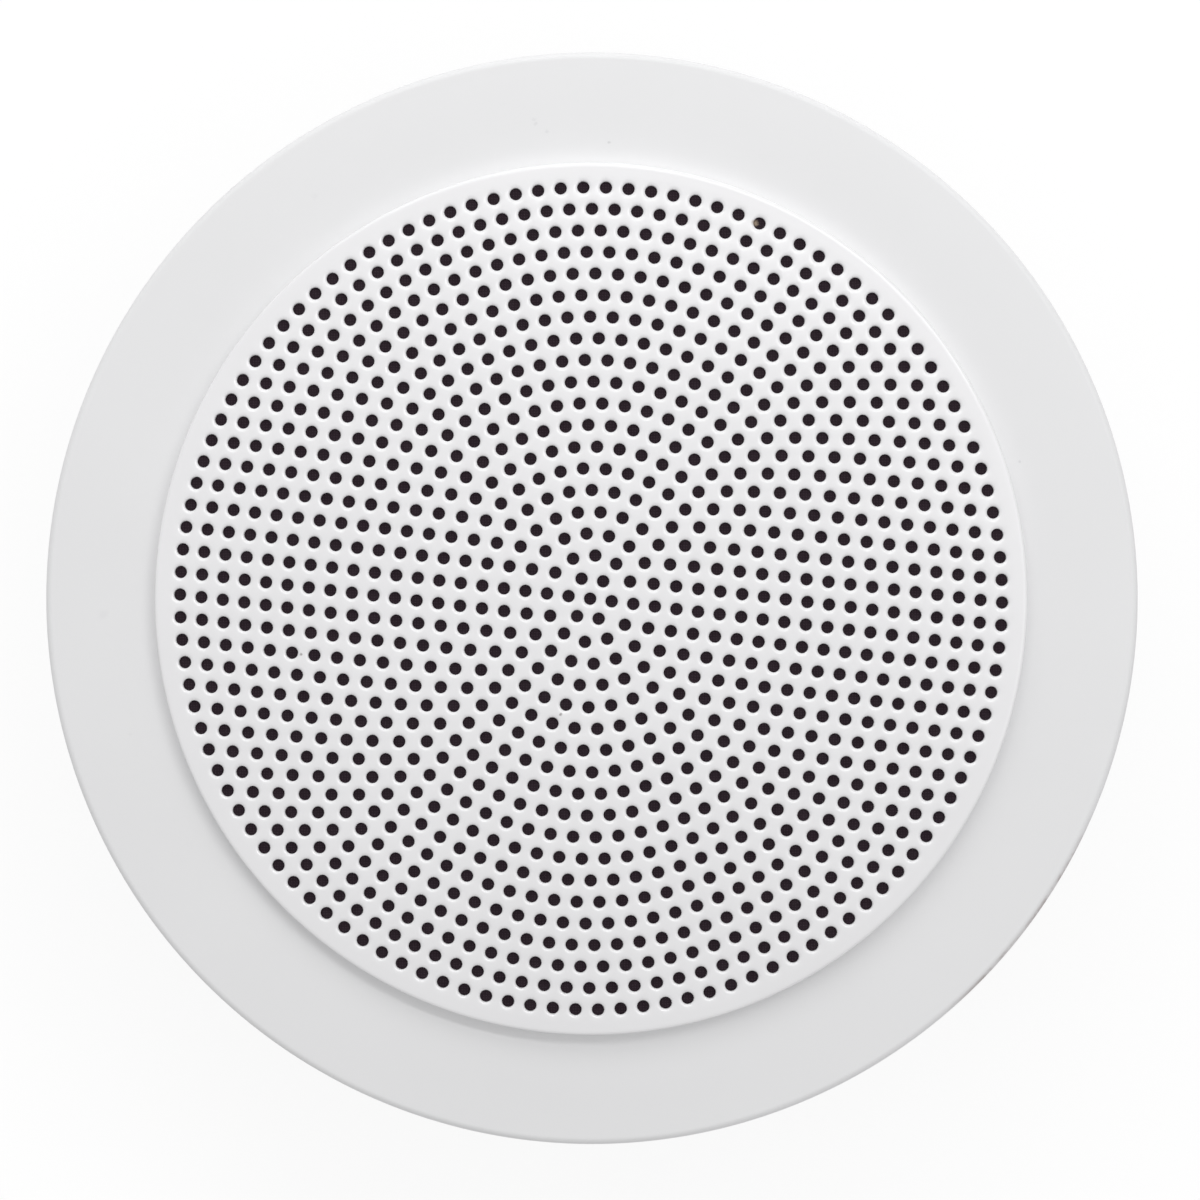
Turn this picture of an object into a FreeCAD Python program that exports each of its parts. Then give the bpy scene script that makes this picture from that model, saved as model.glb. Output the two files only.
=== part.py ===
import FreeCAD, Part
import math
import os

# Ceiling loudspeaker: a moulded frame with a perforated steel grille, an open-backed cone driver and two
# sprung clips. The axis of the driver is Z, the grille faces +Z and the back of the magnet stands on Z = 0.
# All lengths are in millimetres, all angles in degrees.

# Magnet system
YOKE_RADIUS = 34.0
YOKE_THICKNESS = 5.0
YOKE_CHAMFER = 1.0
POLE_RADIUS = 12.0
MAGNET_RADIUS = 36.0
MAGNET_BORE_RADIUS = 17.0
MAGNET_THICKNESS = 12.0
MAGNET_CHAMFER = 0.8
TOP_PLATE_RADIUS = 34.0
TOP_PLATE_THICKNESS = 4.0

# Voice coil
COIL_AIR = 0.35
FORMER_SHEET = 0.3
WINDING_THICKNESS = 0.5
WINDING_HEIGHT = 8.0
FORMER_TAIL = 1.0
FORMER_ABOVE_NECK = 2.0

# Basket
BASKET_SHEET = 0.8
BASKET_HOLE_RADIUS = 17.0
BASKET_FLOOR_INSET = 2.0
SHELF_RISE = 7.0
SHELF_INSIDE_ROLL = 1.0
SHELF_BEYOND_SPIDER = 5.5
BASKET_DEPTH = 37.0
BASKET_THROAT_INSET = 1.5
BASKET_THROAT_HEIGHT = 3.0
BASKET_RIM_BEYOND_SCREWS = 3.5
WINDOW_COUNT = 8
WINDOW_TOP_WIDTH = 19.5
WINDOW_BOTTOM_WIDTH = 16.0
WINDOW_ABOVE_SHELF = 3.0
WINDOW_BELOW_THROAT = 3.5
WINDOW_CORNER = 3.0

# Moving paper and cloth
CONE_RADIUS = 55.5
CONE_SHEET = 0.6
CONE_NECK_ABOVE_SHELF = 6.5
CONE_EDGE_BELOW_RIM = 3.2
SURROUND_SHEET = 0.4
SURROUND_LIP_WIDTH = 5.0
SURROUND_ROLL_WIDTH = 10.0
SURROUND_ROLL_RISE = 3.4
SURROUND_ROLL_FACETS = 8
SURROUND_LAP = 2.5
SPIDER_SHEET = 0.4
SPIDER_RADIUS = 38.5
SPIDER_LIP_WIDTH = 4.5
SPIDER_WAVES = 4
SPIDER_WAVE_HEIGHT = 0.7
SPIDER_NECK_HEIGHT = 2.0
SPIDER_NECK_ABOVE_SHELF = 3.0
DUST_CAP_RADIUS = 17.0
DUST_CAP_RISE = 5.0
DUST_CAP_SHEET = 0.5

# Rivets, terminals and leads of the driver
RIVET_COUNT = 4
RIVET_CIRCLE_RADIUS = 24.0
RIVET_RADIUS = 1.6
RIVET_HEAD_RADIUS = 2.8
RIVET_HEAD_HEIGHT = 1.1
RIVET_BITE = 3.0
BOARD_WIDTH = 26.0
BOARD_LENGTH = 20.0
BOARD_THICKNESS = 1.5
BOARD_CORNER = 2.0
BOARD_RIVET_RADIUS = 1.2
BOARD_RIVET_HEAD_RADIUS = 1.9
BOARD_RIVET_HEAD_HEIGHT = 0.7
BOARD_RIVET_SPACING = 18.0
BOARD_RIVET_BEYOND_SPIDER = 2.0
BOARD_RIVET_FROM_INNER = 5.5
TAG_SPACING = 11.0
TAG_WIDTH = 4.8
TAG_SHEET = 0.8
TAG_LENGTH = 17.0
TAG_OVERHANG = 8.0
TAG_POST_WIDTH = 1.6
TAG_POST_HEIGHT = 4.5
TAG_EYE_RADIUS = 0.8
LEAD_RADIUS = 0.5
LEAD_START_RISE = 3.0
LEAD_MIDDLE_RISE = 3.6
LEAD_END_RISE = 3.0
LEAD_BEND_SHARE = 0.45
LEAD_CONE_RADIUS = 25.0

# Gasket and driver screws
GASKET_THICKNESS = 2.5
GASKET_INSET = 0.3
SCREW_COUNT = 4
SCREW_BEYOND_LIP = 3.5
SCREW_RADIUS = 1.75
SCREW_LENGTH = 7.5
SCREW_HEAD_RADIUS = 3.0
SCREW_HEAD_HEIGHT = 2.2
SCREW_HEAD_FLAT_RADIUS = 2.0
SCREW_HEAD_BULGE = 0.4
SCREW_SLOT_LENGTH = 3.4
SCREW_SLOT_WIDTH = 0.9
SCREW_SLOT_DEPTH = 1.2
SCREW_HOLE_AIR = 0.3

# Moulded frame
FLANGE_WIDTH = 19.9
FLANGE_THICKNESS = 2.5
RIM_DEPTH = 5.0
RIM_WALL = 2.5
RIM_ROUND = 1.2
BAFFLE_THICKNESS = 3.0
BAFFLE_BEYOND_ROLL = 1.0
SWEEP_WIDTH = 2.6
SWEEP_RISE = 0.35
GROOVE_DEPTH = 0.8
SEAT_WIDTH = 2.1
SPIGOT_WALL = 2.5
SPIGOT_DEPTH = 7.0
SPIGOT_AIR = 1.0
BOSS_RADIUS = 3.0
BOSS_HEIGHT = 2.0
BOSS_AIR = 0.4
PILOT_SPARE = 0.4

# Grille and scrim
GRILLE_SHEET = 0.8
GRILLE_CORNER = 0.6
GRILLE_STEP = 3.5
DOME_RADIUS = 663.0
SKIRT_AIR = 0.2
HOLE_RADIUS = 1.05
HOLE_PITCH = 4.0
FIRST_RING_COUNT = 6
HOLE_PHASE = -6.865
# Of the full pattern, every fourth hole of every fourth ring is bored in this solid.
HOLE_COUNT_DIVISOR = 4
SCRIM_SHEET = 0.5
SCRIM_MARGIN = 0.3

# Spring clips
LUG_GAP = 14.0
LUG_THICKNESS = 3.0
LUG_RADIUS = 3.5
PIVOT_FROM_SPIGOT = 1.4
PIN_RADIUS = 1.5
PIN_HEAD_RADIUS = 2.5
PIN_HEAD_HEIGHT = 1.0
PIN_RIVETED_RADIUS = 2.0
PIN_RIVETED_HEIGHT = 0.7
PIN_AIR = 0.05
ARM_TIP_AIR = 0.4
ARM_ANGLE = 15.0
ARM_HUB_RADIUS = 3.0
ARM_CHEEK = 1.5
ARM_SIDE_AIR = 0.3
ARM_WEB = 1.6
ARM_WEB_START = 4.5
ARM_TIP_HEIGHT = 3.0
PAD_FROM_TIP = 1.0
PAD_LENGTH = 5.5
PAD_WIDTH = 10.0
PAD_AIR = 0.1
WIRE_RADIUS = 0.45
SPRING_RADIUS = 2.5
SPRING_TURNS = 4
SPRING_PITCH = 1.9
SPRING_ARM_LEG = 10.0
SPRING_FRAME_LEG = 4.5

# Air between pieces that are assembled by hand, and between pieces that are pushed or glued together
FIT = 0.02
SEAT_AIR = 0.05

# Heights worked out from the driving sizes, back to front
Z_MAGNET = YOKE_THICKNESS
Z_TOP_PLATE = Z_MAGNET + MAGNET_THICKNESS
Z_BASKET = Z_TOP_PLATE + TOP_PLATE_THICKNESS
Z_SHELF = Z_BASKET + SHELF_RISE
Z_SHELF_FRONT = Z_SHELF + BASKET_SHEET
Z_RIM = Z_BASKET + BASKET_DEPTH
Z_RIM_FRONT = Z_RIM + BASKET_SHEET
Z_THROAT = Z_RIM - BASKET_THROAT_HEIGHT
Z_NECK = Z_SHELF + CONE_NECK_ABOVE_SHELF
Z_CONE_EDGE = Z_RIM_FRONT - CONE_EDGE_BELOW_RIM
Z_SPIDER_NECK = Z_SHELF_FRONT + SPIDER_NECK_ABOVE_SHELF
Z_BAFFLE = Z_RIM_FRONT + SURROUND_SHEET + GASKET_THICKNESS
Z_FLANGE = Z_BAFFLE + BAFFLE_THICKNESS
Z_FLANGE_BACK = Z_FLANGE - FLANGE_THICKNESS
Z_CEILING = Z_FLANGE - RIM_DEPTH
Z_SPIGOT_END = Z_BAFFLE - SPIGOT_DEPTH
Z_GRILLE_EDGE = Z_FLANGE + GRILLE_STEP

# Radii worked out from the driving sizes, from the pole out to the flange
FORMER_INNER_RADIUS = POLE_RADIUS + COIL_AIR
FORMER_OUTER_RADIUS = FORMER_INNER_RADIUS + FORMER_SHEET
WINDING_RADIUS = FORMER_OUTER_RADIUS + WINDING_THICKNESS
TOP_PLATE_BORE_RADIUS = WINDING_RADIUS + COIL_AIR
CONE_NECK_RADIUS = FORMER_OUTER_RADIUS + FIT
SPIDER_ROLL_RADIUS = SPIDER_RADIUS - SPIDER_LIP_WIDTH
SHELF_INNER_RADIUS = SPIDER_ROLL_RADIUS - SHELF_INSIDE_ROLL
SHELF_OUTER_RADIUS = SPIDER_RADIUS + SHELF_BEYOND_SPIDER
BASKET_FLOOR_RADIUS = SHELF_INNER_RADIUS - BASKET_FLOOR_INSET
BOARD_RIVET_CIRCLE_RADIUS = SPIDER_RADIUS + BOARD_RIVET_BEYOND_SPIDER
BOARD_INNER_RADIUS = BOARD_RIVET_CIRCLE_RADIUS - BOARD_RIVET_FROM_INNER
SURROUND_ROLL_OUTER_RADIUS = CONE_RADIUS + SURROUND_ROLL_WIDTH
SURROUND_LIP_RADIUS = SURROUND_ROLL_OUTER_RADIUS + SURROUND_LIP_WIDTH
BASKET_THROAT_RADIUS = SURROUND_ROLL_OUTER_RADIUS - BASKET_THROAT_INSET
BAFFLE_OPENING_RADIUS = SURROUND_ROLL_OUTER_RADIUS + BAFFLE_BEYOND_ROLL
SCREW_CIRCLE_RADIUS = SURROUND_LIP_RADIUS + SCREW_BEYOND_LIP
BASKET_RIM_RADIUS = SCREW_CIRCLE_RADIUS + BASKET_RIM_BEYOND_SCREWS
SEAT_INNER_RADIUS = SCREW_CIRCLE_RADIUS + BOSS_RADIUS + BOSS_AIR
SEAT_OUTER_RADIUS = SEAT_INNER_RADIUS + SEAT_WIDTH
SKIRT_INNER_RADIUS = SEAT_OUTER_RADIUS + SKIRT_AIR
GRILLE_RADIUS = SKIRT_INNER_RADIUS + GRILLE_SHEET
GROOVE_OUTER_RADIUS = GRILLE_RADIUS + SKIRT_AIR
SCRIM_RADIUS = SEAT_INNER_RADIUS - SCRIM_MARGIN
SPIGOT_INNER_RADIUS = BASKET_RIM_RADIUS + SPIGOT_AIR
SPIGOT_OUTER_RADIUS = SPIGOT_INNER_RADIUS + SPIGOT_WALL
FLANGE_RADIUS = SPIGOT_OUTER_RADIUS + FLANGE_WIDTH
RIM_INNER_RADIUS = FLANGE_RADIUS - RIM_WALL

# The grille's ball and its rings of holes
Z_DOME_CENTRE = Z_GRILLE_EDGE - math.sqrt(DOME_RADIUS ** 2 - GRILLE_RADIUS ** 2)
HOLE_RINGS = math.floor((SEAT_INNER_RADIUS - HOLE_RADIUS) / HOLE_PITCH)

# The clips' pivot, and the arm that reaches from it to the flange's rim
PIVOT_X = SPIGOT_OUTER_RADIUS + PIVOT_FROM_SPIGOT
PIVOT_Z = Z_SPIGOT_END - SEAT_AIR - WIRE_RADIUS - SPRING_RADIUS
ARM_HALF_WIDTH = LUG_GAP / 2 - ARM_SIDE_AIR
ARM_LENGTH = (RIM_INNER_RADIUS - ARM_TIP_AIR - PIVOT_X) / math.cos(math.radians(ARM_ANGLE))
PAD_END = ARM_LENGTH - PAD_FROM_TIP
PAD_START = PAD_END - PAD_LENGTH

ORIGIN = FreeCAD.Vector(0, 0, 0)
X_AXIS = FreeCAD.Vector(1, 0, 0)
Y_AXIS = FreeCAD.Vector(0, 1, 0)
Z_AXIS = FreeCAD.Vector(0, 0, 1)


# Drawing helpers

def section(start, *steps):
    """A flat face in the XZ plane. Each step is an end point, or an arc's (middle, end)."""
    def place(point):
        return FreeCAD.Vector(point[0], 0, point[1])

    def last_point(step):
        return step[1] if isinstance(step[0], tuple) else step

    edges = []
    here = start
    closing = [] if last_point(steps[-1]) == start else [start]
    for step in list(steps) + closing:
        if isinstance(step[0], tuple):
            middle, end = step
            edges.append(Part.Arc(place(here), place(middle), place(end)).toShape())
        else:
            end = step
            edges.append(Part.LineSegment(place(here), place(end)).toShape())
        here = end
    return Part.Face(Part.Wire(edges))


def turned(start, *steps):
    """A solid of revolution about Z from an outline of (radius, height) points."""
    return section(start, *steps).revolve(ORIGIN, Z_AXIS, 360)


def ring(inner, outer, low, high):
    return turned((inner, low), (outer, low), (outer, high), (inner, high))


def rod(radius, low, high, x=0.0, y=0.0):
    return Part.makeCylinder(radius, high - low, FreeCAD.Vector(x, y, low))


def block(x_range, y_range, z_range):
    """A box from its lowest and highest X, Y and Z."""
    sizes = [high - low for low, high in (x_range, y_range, z_range)]
    corner = FreeCAD.Vector(x_range[0], y_range[0], z_range[0])
    return Part.makeBox(*sizes, corner)


def beside(points, distance):
    """The line of points moved sideways by a distance, with mitred corners."""
    normals = []
    for (r0, z0), (r1, z1) in zip(points, points[1:]):
        length = math.hypot(r1 - r0, z1 - z0)
        normals.append(((z0 - z1) / length, (r1 - r0) / length))
    before = [normals[0]] + normals
    after = normals + [normals[-1]]
    moved = []
    for (r, z), (ar, az), (br, bz) in zip(points, before, after):
        share = distance / (1 + ar * br + az * bz)
        moved.append((r + (ar + br) * share, z + (az + bz) * share))
    return moved


def turned_sheet(points, thickness):
    """A thin wall of revolution whose back follows the points, from the inside out."""
    outline = points + beside(points, thickness)[::-1]
    return turned(*outline)


def around(shape, angle):
    """A copy turned about the driver's axis."""
    copy = shape.copy()
    copy.rotate(ORIGIN, Z_AXIS, angle)
    return copy


def spread(shape, count, first):
    """Copies of a shape, evenly spread about the driver's axis."""
    return [around(shape, first + index * 360 / count) for index in range(count)]


def edges_along(shape, axis):
    """The straight edges that run along an axis."""
    ways = [(edge, edge.tangentAt(edge.FirstParameter)) for edge in shape.Edges]
    return [edge for edge, way in ways if math.isclose(abs(way.dot(axis)), 1)]


def joined(shapes):
    return shapes[0].multiFuse(shapes[1:]).removeSplitter()


def bow(width, rise):
    """The middle of an arc that starts level and drops by a rise over a width, as (across, drop)."""
    radius = (width ** 2 + rise ** 2) / (2 * rise)
    half_turn = math.asin(width / radius) / 2
    return radius * math.sin(half_turn), radius * (1 - math.cos(half_turn))


def crown(sphere_radius, radius, low):
    """The top of a ball at the origin, trimmed to a radius and cut flat at a height.

    Its poles lie on X and its seam on the underside, so that the crown is one smooth face.
    """
    ball = Part.makeSphere(sphere_radius, ORIGIN, X_AXIS)
    ball.rotate(ORIGIN, X_AXIS, 180)
    return rod(radius, low, 2 * sphere_radius).common(ball)


def cap(sphere_radius, thickness, radius):
    """A domed sheet of even thickness, whose ball stands at the origin."""
    low = math.sqrt((sphere_radius - thickness) ** 2 - radius ** 2)
    return crown(sphere_radius, radius, low).cut(crown(sphere_radius - thickness, radius, low))


def dome_height(radius, depth):
    """Height of the grille's sphere at a radius, a depth below its outer face."""
    return Z_DOME_CENTRE + math.sqrt((DOME_RADIUS - depth) ** 2 - radius ** 2)


def cone_back(radius):
    """Height of the cone's back at a radius."""
    share = (radius - CONE_NECK_RADIUS) / (CONE_RADIUS - CONE_NECK_RADIUS)
    return Z_NECK + share * (Z_CONE_EDGE - Z_NECK)


def cone_front(radius):
    """Height of the cone's front at a radius."""
    slope = (Z_CONE_EDGE - Z_NECK) / (CONE_RADIUS - CONE_NECK_RADIUS)
    return cone_back(radius) + CONE_SHEET * math.hypot(1, slope)


# Magnet system and voice coil

def make_yoke():
    top = Z_BASKET
    return turned(
        (0, 0),
        (YOKE_RADIUS - YOKE_CHAMFER, 0),
        (YOKE_RADIUS, YOKE_CHAMFER),
        (YOKE_RADIUS, YOKE_THICKNESS),
        (POLE_RADIUS, YOKE_THICKNESS),
        (POLE_RADIUS, top),
        (0, top),
    )


def make_magnet():
    edge = MAGNET_RADIUS - MAGNET_CHAMFER
    return turned(
        (MAGNET_BORE_RADIUS, Z_MAGNET),
        (edge, Z_MAGNET),
        (MAGNET_RADIUS, Z_MAGNET + MAGNET_CHAMFER),
        (MAGNET_RADIUS, Z_TOP_PLATE - MAGNET_CHAMFER),
        (edge, Z_TOP_PLATE),
        (MAGNET_BORE_RADIUS, Z_TOP_PLATE),
    )


def make_top_plate():
    plate = ring(TOP_PLATE_BORE_RADIUS, TOP_PLATE_RADIUS, Z_TOP_PLATE, Z_BASKET)
    hole = rod(RIVET_RADIUS + FIT, Z_BASKET - RIVET_BITE - FIT, Z_BASKET, x=RIVET_CIRCLE_RADIUS)
    return plate.cut(spread(hole, RIVET_COUNT, 180 / RIVET_COUNT))


def make_coil_former():
    low = Z_TOP_PLATE + TOP_PLATE_THICKNESS / 2 - WINDING_HEIGHT / 2 - FORMER_TAIL
    return ring(FORMER_INNER_RADIUS, FORMER_OUTER_RADIUS, low, Z_NECK + FORMER_ABOVE_NECK)


def make_voice_coil():
    middle = Z_TOP_PLATE + TOP_PLATE_THICKNESS / 2
    half = WINDING_HEIGHT / 2
    return ring(FORMER_OUTER_RADIUS, WINDING_RADIUS, middle - half, middle + half)


# Basket and what is fixed to it

def make_window_cutter():
    """A tapered window, bored outwards along +X."""
    low = Z_SHELF + WINDOW_ABOVE_SHELF
    high = Z_THROAT - WINDOW_BELOW_THROAT
    corners = [
        (-WINDOW_BOTTOM_WIDTH / 2, low),
        (WINDOW_BOTTOM_WIDTH / 2, low),
        (WINDOW_TOP_WIDTH / 2, high),
        (-WINDOW_TOP_WIDTH / 2, high),
    ]
    points = [FreeCAD.Vector(SHELF_INNER_RADIUS, y, z) for y, z in corners]
    face = Part.Face(Part.makePolygon(points + points[:1]))
    cutter = face.extrude(X_AXIS * (BASKET_RIM_RADIUS - SHELF_INNER_RADIUS))
    return cutter.makeFillet(WINDOW_CORNER, edges_along(cutter, X_AXIS))


def board_rivet_places():
    half = BOARD_RIVET_SPACING / 2
    return [(-half, -BOARD_RIVET_CIRCLE_RADIUS), (half, -BOARD_RIVET_CIRCLE_RADIUS)]


def tag_places():
    return [-TAG_SPACING / 2, TAG_SPACING / 2]


def make_basket():
    back = [
        (BASKET_HOLE_RADIUS, Z_BASKET),
        (BASKET_FLOOR_RADIUS, Z_BASKET),
        (SHELF_INNER_RADIUS, Z_SHELF),
        (SHELF_OUTER_RADIUS, Z_SHELF),
        (BASKET_THROAT_RADIUS, Z_THROAT),
        (BASKET_THROAT_RADIUS, Z_RIM),
        (BASKET_RIM_RADIUS, Z_RIM),
    ]
    cutters = spread(make_window_cutter(), WINDOW_COUNT, 0)
    rivet_hole = rod(RIVET_RADIUS + FIT, Z_BASKET, Z_BASKET + BASKET_SHEET, x=RIVET_CIRCLE_RADIUS)
    cutters += spread(rivet_hole, RIVET_COUNT, 180 / RIVET_COUNT)
    screw_hole = rod(SCREW_RADIUS + SCREW_HOLE_AIR, Z_RIM, Z_RIM_FRONT, x=SCREW_CIRCLE_RADIUS)
    cutters += spread(screw_hole, SCREW_COUNT, 180 / SCREW_COUNT)
    for x, y in board_rivet_places():
        cutters.append(rod(BOARD_RIVET_RADIUS + FIT, Z_SHELF, Z_SHELF_FRONT, x, y))
    return turned_sheet(back, BASKET_SHEET).cut(cutters)


def make_rivet(radius, low, high, head_radius, head_height, x, y):
    """A round rivet whose shank ends flat at low and whose domed head sits on high."""
    shank = rod(radius, low, high, x, y)
    top = high + head_height
    across, drop = bow(head_radius, head_height)
    head = turned((0, high), (head_radius, high), ((across, top - drop), (0, top)))
    head.translate(FreeCAD.Vector(x, y, 0))
    return joined([shank, head])


def make_basket_rivets():
    rivet = make_rivet(
        RIVET_RADIUS,
        Z_BASKET - RIVET_BITE,
        Z_BASKET + BASKET_SHEET,
        RIVET_HEAD_RADIUS,
        RIVET_HEAD_HEIGHT,
        RIVET_CIRCLE_RADIUS,
        0,
    )
    return Part.makeCompound(spread(rivet, RIVET_COUNT, 180 / RIVET_COUNT))


def make_terminal_board():
    inner = -BOARD_INNER_RADIUS
    outer = inner - BOARD_LENGTH
    low = Z_SHELF - BOARD_THICKNESS
    board = block((-BOARD_WIDTH / 2, BOARD_WIDTH / 2), (outer, inner), (low, Z_SHELF))
    board = board.makeFillet(BOARD_CORNER, edges_along(board, Z_AXIS))
    cutters = [rod(BOARD_RIVET_RADIUS + FIT, low, Z_SHELF, x, y) for x, y in board_rivet_places()]
    for x in tag_places():
        half_slot = TAG_POST_WIDTH / 2 + SEAT_AIR
        slot_y = (tag_post_y() - TAG_SHEET / 2 - SEAT_AIR, tag_post_y() + TAG_SHEET / 2 + SEAT_AIR)
        cutters.append(block((x - half_slot, x + half_slot), slot_y, (low, Z_SHELF)))
    return board.cut(cutters)


def tag_outer_y():
    return -BOARD_INNER_RADIUS - BOARD_LENGTH - TAG_OVERHANG


def tag_post_y():
    return tag_outer_y() + TAG_LENGTH - TAG_SHEET / 2


def tag_post_top():
    return Z_SHELF - BOARD_THICKNESS + TAG_POST_HEIGHT


def make_terminal_tags():
    """Two flat push-on tags with an upturned post through the board."""
    top = Z_SHELF - BOARD_THICKNESS
    tags = []
    for x in tag_places():
        y_range = (tag_outer_y(), tag_outer_y() + TAG_LENGTH)
        blade = block((x - TAG_WIDTH / 2, x + TAG_WIDTH / 2), y_range, (top - TAG_SHEET, top))
        post_y = (tag_post_y() - TAG_SHEET / 2, tag_post_y() + TAG_SHEET / 2)
        post_x = (x - TAG_POST_WIDTH / 2, x + TAG_POST_WIDTH / 2)
        post = block(post_x, post_y, (top - TAG_SHEET, tag_post_top()))
        eye = rod(TAG_EYE_RADIUS, top - TAG_SHEET, top, x, tag_outer_y() + TAG_OVERHANG / 2)
        tags.append(joined([blade, post]).cut(eye))
    return Part.makeCompound(tags)


def make_terminal_rivets():
    """Two rivets with a head on the shelf's front and a flat one behind the board."""
    rivets = []
    low = Z_SHELF - BOARD_THICKNESS
    for x, y in board_rivet_places():
        rivet = make_rivet(
            BOARD_RIVET_RADIUS,
            low,
            Z_SHELF_FRONT,
            BOARD_RIVET_HEAD_RADIUS,
            BOARD_RIVET_HEAD_HEIGHT,
            x,
            y,
        )
        foot = rod(BOARD_RIVET_HEAD_RADIUS, low - BOARD_RIVET_HEAD_HEIGHT, low, x, y)
        rivets.append(joined([rivet, foot]))
    return Part.makeCompound(rivets)


def tube_along(points, radius):
    """A round tube along straight runs, with an arc at each corner as large as its runs allow."""
    corners = [FreeCAD.Vector(*point) for point in points]
    edges = []
    here = corners[0]
    for before, corner, after in zip(corners, corners[1:], corners[2:]):
        back = (before - corner).normalize()
        ahead = (after - corner).normalize()
        reach = LEAD_BEND_SHARE * min(before.distanceToPoint(corner), after.distanceToPoint(corner))
        arc_start = corner + back * reach
        arc_end = corner + ahead * reach
        half_angle = back.getAngle(ahead) / 2
        bisector = (back + ahead).normalize()
        to_middle = reach / math.cos(half_angle) * (1 - math.sin(half_angle))
        edges.append(Part.LineSegment(here, arc_start).toShape())
        edges.append(Part.Arc(arc_start, corner + bisector * to_middle, arc_end).toShape())
        here = arc_end
    edges.append(Part.LineSegment(here, corners[-1]).toShape())
    path = Part.Wire(edges)
    start_direction = corners[1] - corners[0]
    circle = Part.Wire(Part.makeCircle(radius, corners[0], start_direction))
    return path.makePipeShell([circle], True, True)


def make_tinsel_leads():
    """Two slack leads from the tag posts through the basket's window to the back of the cone."""
    leads = []
    start_z = tag_post_top() + SEAT_AIR
    end_z = cone_back(LEAD_CONE_RADIUS) - LEAD_RADIUS - SEAT_AIR
    for x in tag_places():
        end_y = -math.sqrt(LEAD_CONE_RADIUS ** 2 - x ** 2)
        middle_y = (tag_post_y() + end_y) / 2
        points = [
            (x, tag_post_y(), start_z),
            (x, tag_post_y(), start_z + LEAD_START_RISE),
            (x, middle_y, start_z + LEAD_MIDDLE_RISE),
            (x, end_y, end_z - LEAD_END_RISE),
            (x, end_y, end_z),
        ]
        leads.append(tube_along(points, LEAD_RADIUS))
    return Part.makeCompound(leads)


# Cone, its suspension and its cap

def make_cone():
    back = [(CONE_NECK_RADIUS, Z_NECK), (CONE_RADIUS, Z_CONE_EDGE)]
    return turned(
        back[0],
        back[1],
        (CONE_RADIUS, cone_front(CONE_RADIUS)),
        (CONE_NECK_RADIUS, cone_front(CONE_NECK_RADIUS)),
    )


def make_surround():
    """A lip on the basket's rim, a half roll, and a lap on the front of the cone."""
    lap_radius = CONE_RADIUS - SURROUND_LAP
    foot = cone_front(CONE_RADIUS) + SEAT_AIR
    roll_middle = (CONE_RADIUS + SURROUND_ROLL_OUTER_RADIUS) / 2
    roll_half = (SURROUND_ROLL_OUTER_RADIUS - CONE_RADIUS) / 2
    points = [(lap_radius, cone_front(lap_radius) + SEAT_AIR)]
    for index in range(SURROUND_ROLL_FACETS + 1):
        share = index / SURROUND_ROLL_FACETS
        radius = roll_middle - roll_half * math.cos(math.pi * share)
        level = foot + share * (Z_RIM_FRONT - foot)
        points.append((radius, level + SURROUND_ROLL_RISE * math.sin(math.pi * share)))
    points.append((SURROUND_LIP_RADIUS, Z_RIM_FRONT))
    return turned_sheet(points, SURROUND_SHEET)


def make_spider():
    """A flat lip on the basket's shelf, rolled waves, and a neck glued to the former."""
    neck = FORMER_OUTER_RADIUS + FIT
    foot = neck + SPIDER_NECK_HEIGHT
    half_waves = 2 * SPIDER_WAVES
    points = [(neck, Z_SPIDER_NECK), (foot, Z_SPIDER_NECK)]
    for index in range(1, half_waves):
        share = index / half_waves
        radius = foot + share * (SPIDER_ROLL_RADIUS - foot)
        level = Z_SPIDER_NECK + share * (Z_SHELF_FRONT - Z_SPIDER_NECK)
        lift = SPIDER_WAVE_HEIGHT if index % 2 else -SPIDER_WAVE_HEIGHT * (1 - share)
        points.append((radius, level + lift))
    points += [(SPIDER_ROLL_RADIUS, Z_SHELF_FRONT), (SPIDER_RADIUS, Z_SHELF_FRONT)]
    collar = ring(neck, neck + SPIDER_SHEET, Z_SPIDER_NECK, Z_SPIDER_NECK + SPIDER_NECK_HEIGHT)
    return joined([turned_sheet(points, SPIDER_SHEET), collar])


def make_dust_cap():
    """A shallow paper dome glued to the front of the cone."""
    foot = cone_front(DUST_CAP_RADIUS) + SEAT_AIR
    ball_radius = (DUST_CAP_RADIUS ** 2 + DUST_CAP_RISE ** 2) / (2 * DUST_CAP_RISE)
    centre = foot + DUST_CAP_RISE - ball_radius
    outside = crown(ball_radius, DUST_CAP_RADIUS + DUST_CAP_SHEET, foot - centre)
    inside = crown(ball_radius - DUST_CAP_SHEET, DUST_CAP_RADIUS, foot - centre)
    dome = outside.cut(inside)
    dome.translate(Z_AXIS * centre)
    return dome


# Gasket, screws and moulded frame

def make_driver_gasket():
    """A foam ring that steps over the surround's lip."""
    inner = BAFFLE_OPENING_RADIUS + GASKET_INSET
    outer = BASKET_RIM_RADIUS - GASKET_INSET
    body = turned(
        (inner, Z_RIM_FRONT + SURROUND_SHEET),
        (SURROUND_LIP_RADIUS + SEAT_AIR, Z_RIM_FRONT + SURROUND_SHEET),
        (SURROUND_LIP_RADIUS + SEAT_AIR, Z_RIM_FRONT),
        (outer, Z_RIM_FRONT),
        (outer, Z_BAFFLE),
        (inner, Z_BAFFLE),
    )
    hole = rod(SCREW_RADIUS + SCREW_HOLE_AIR, Z_RIM_FRONT, Z_BAFFLE, x=SCREW_CIRCLE_RADIUS)
    return body.cut(spread(hole, SCREW_COUNT, 180 / SCREW_COUNT))


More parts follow.
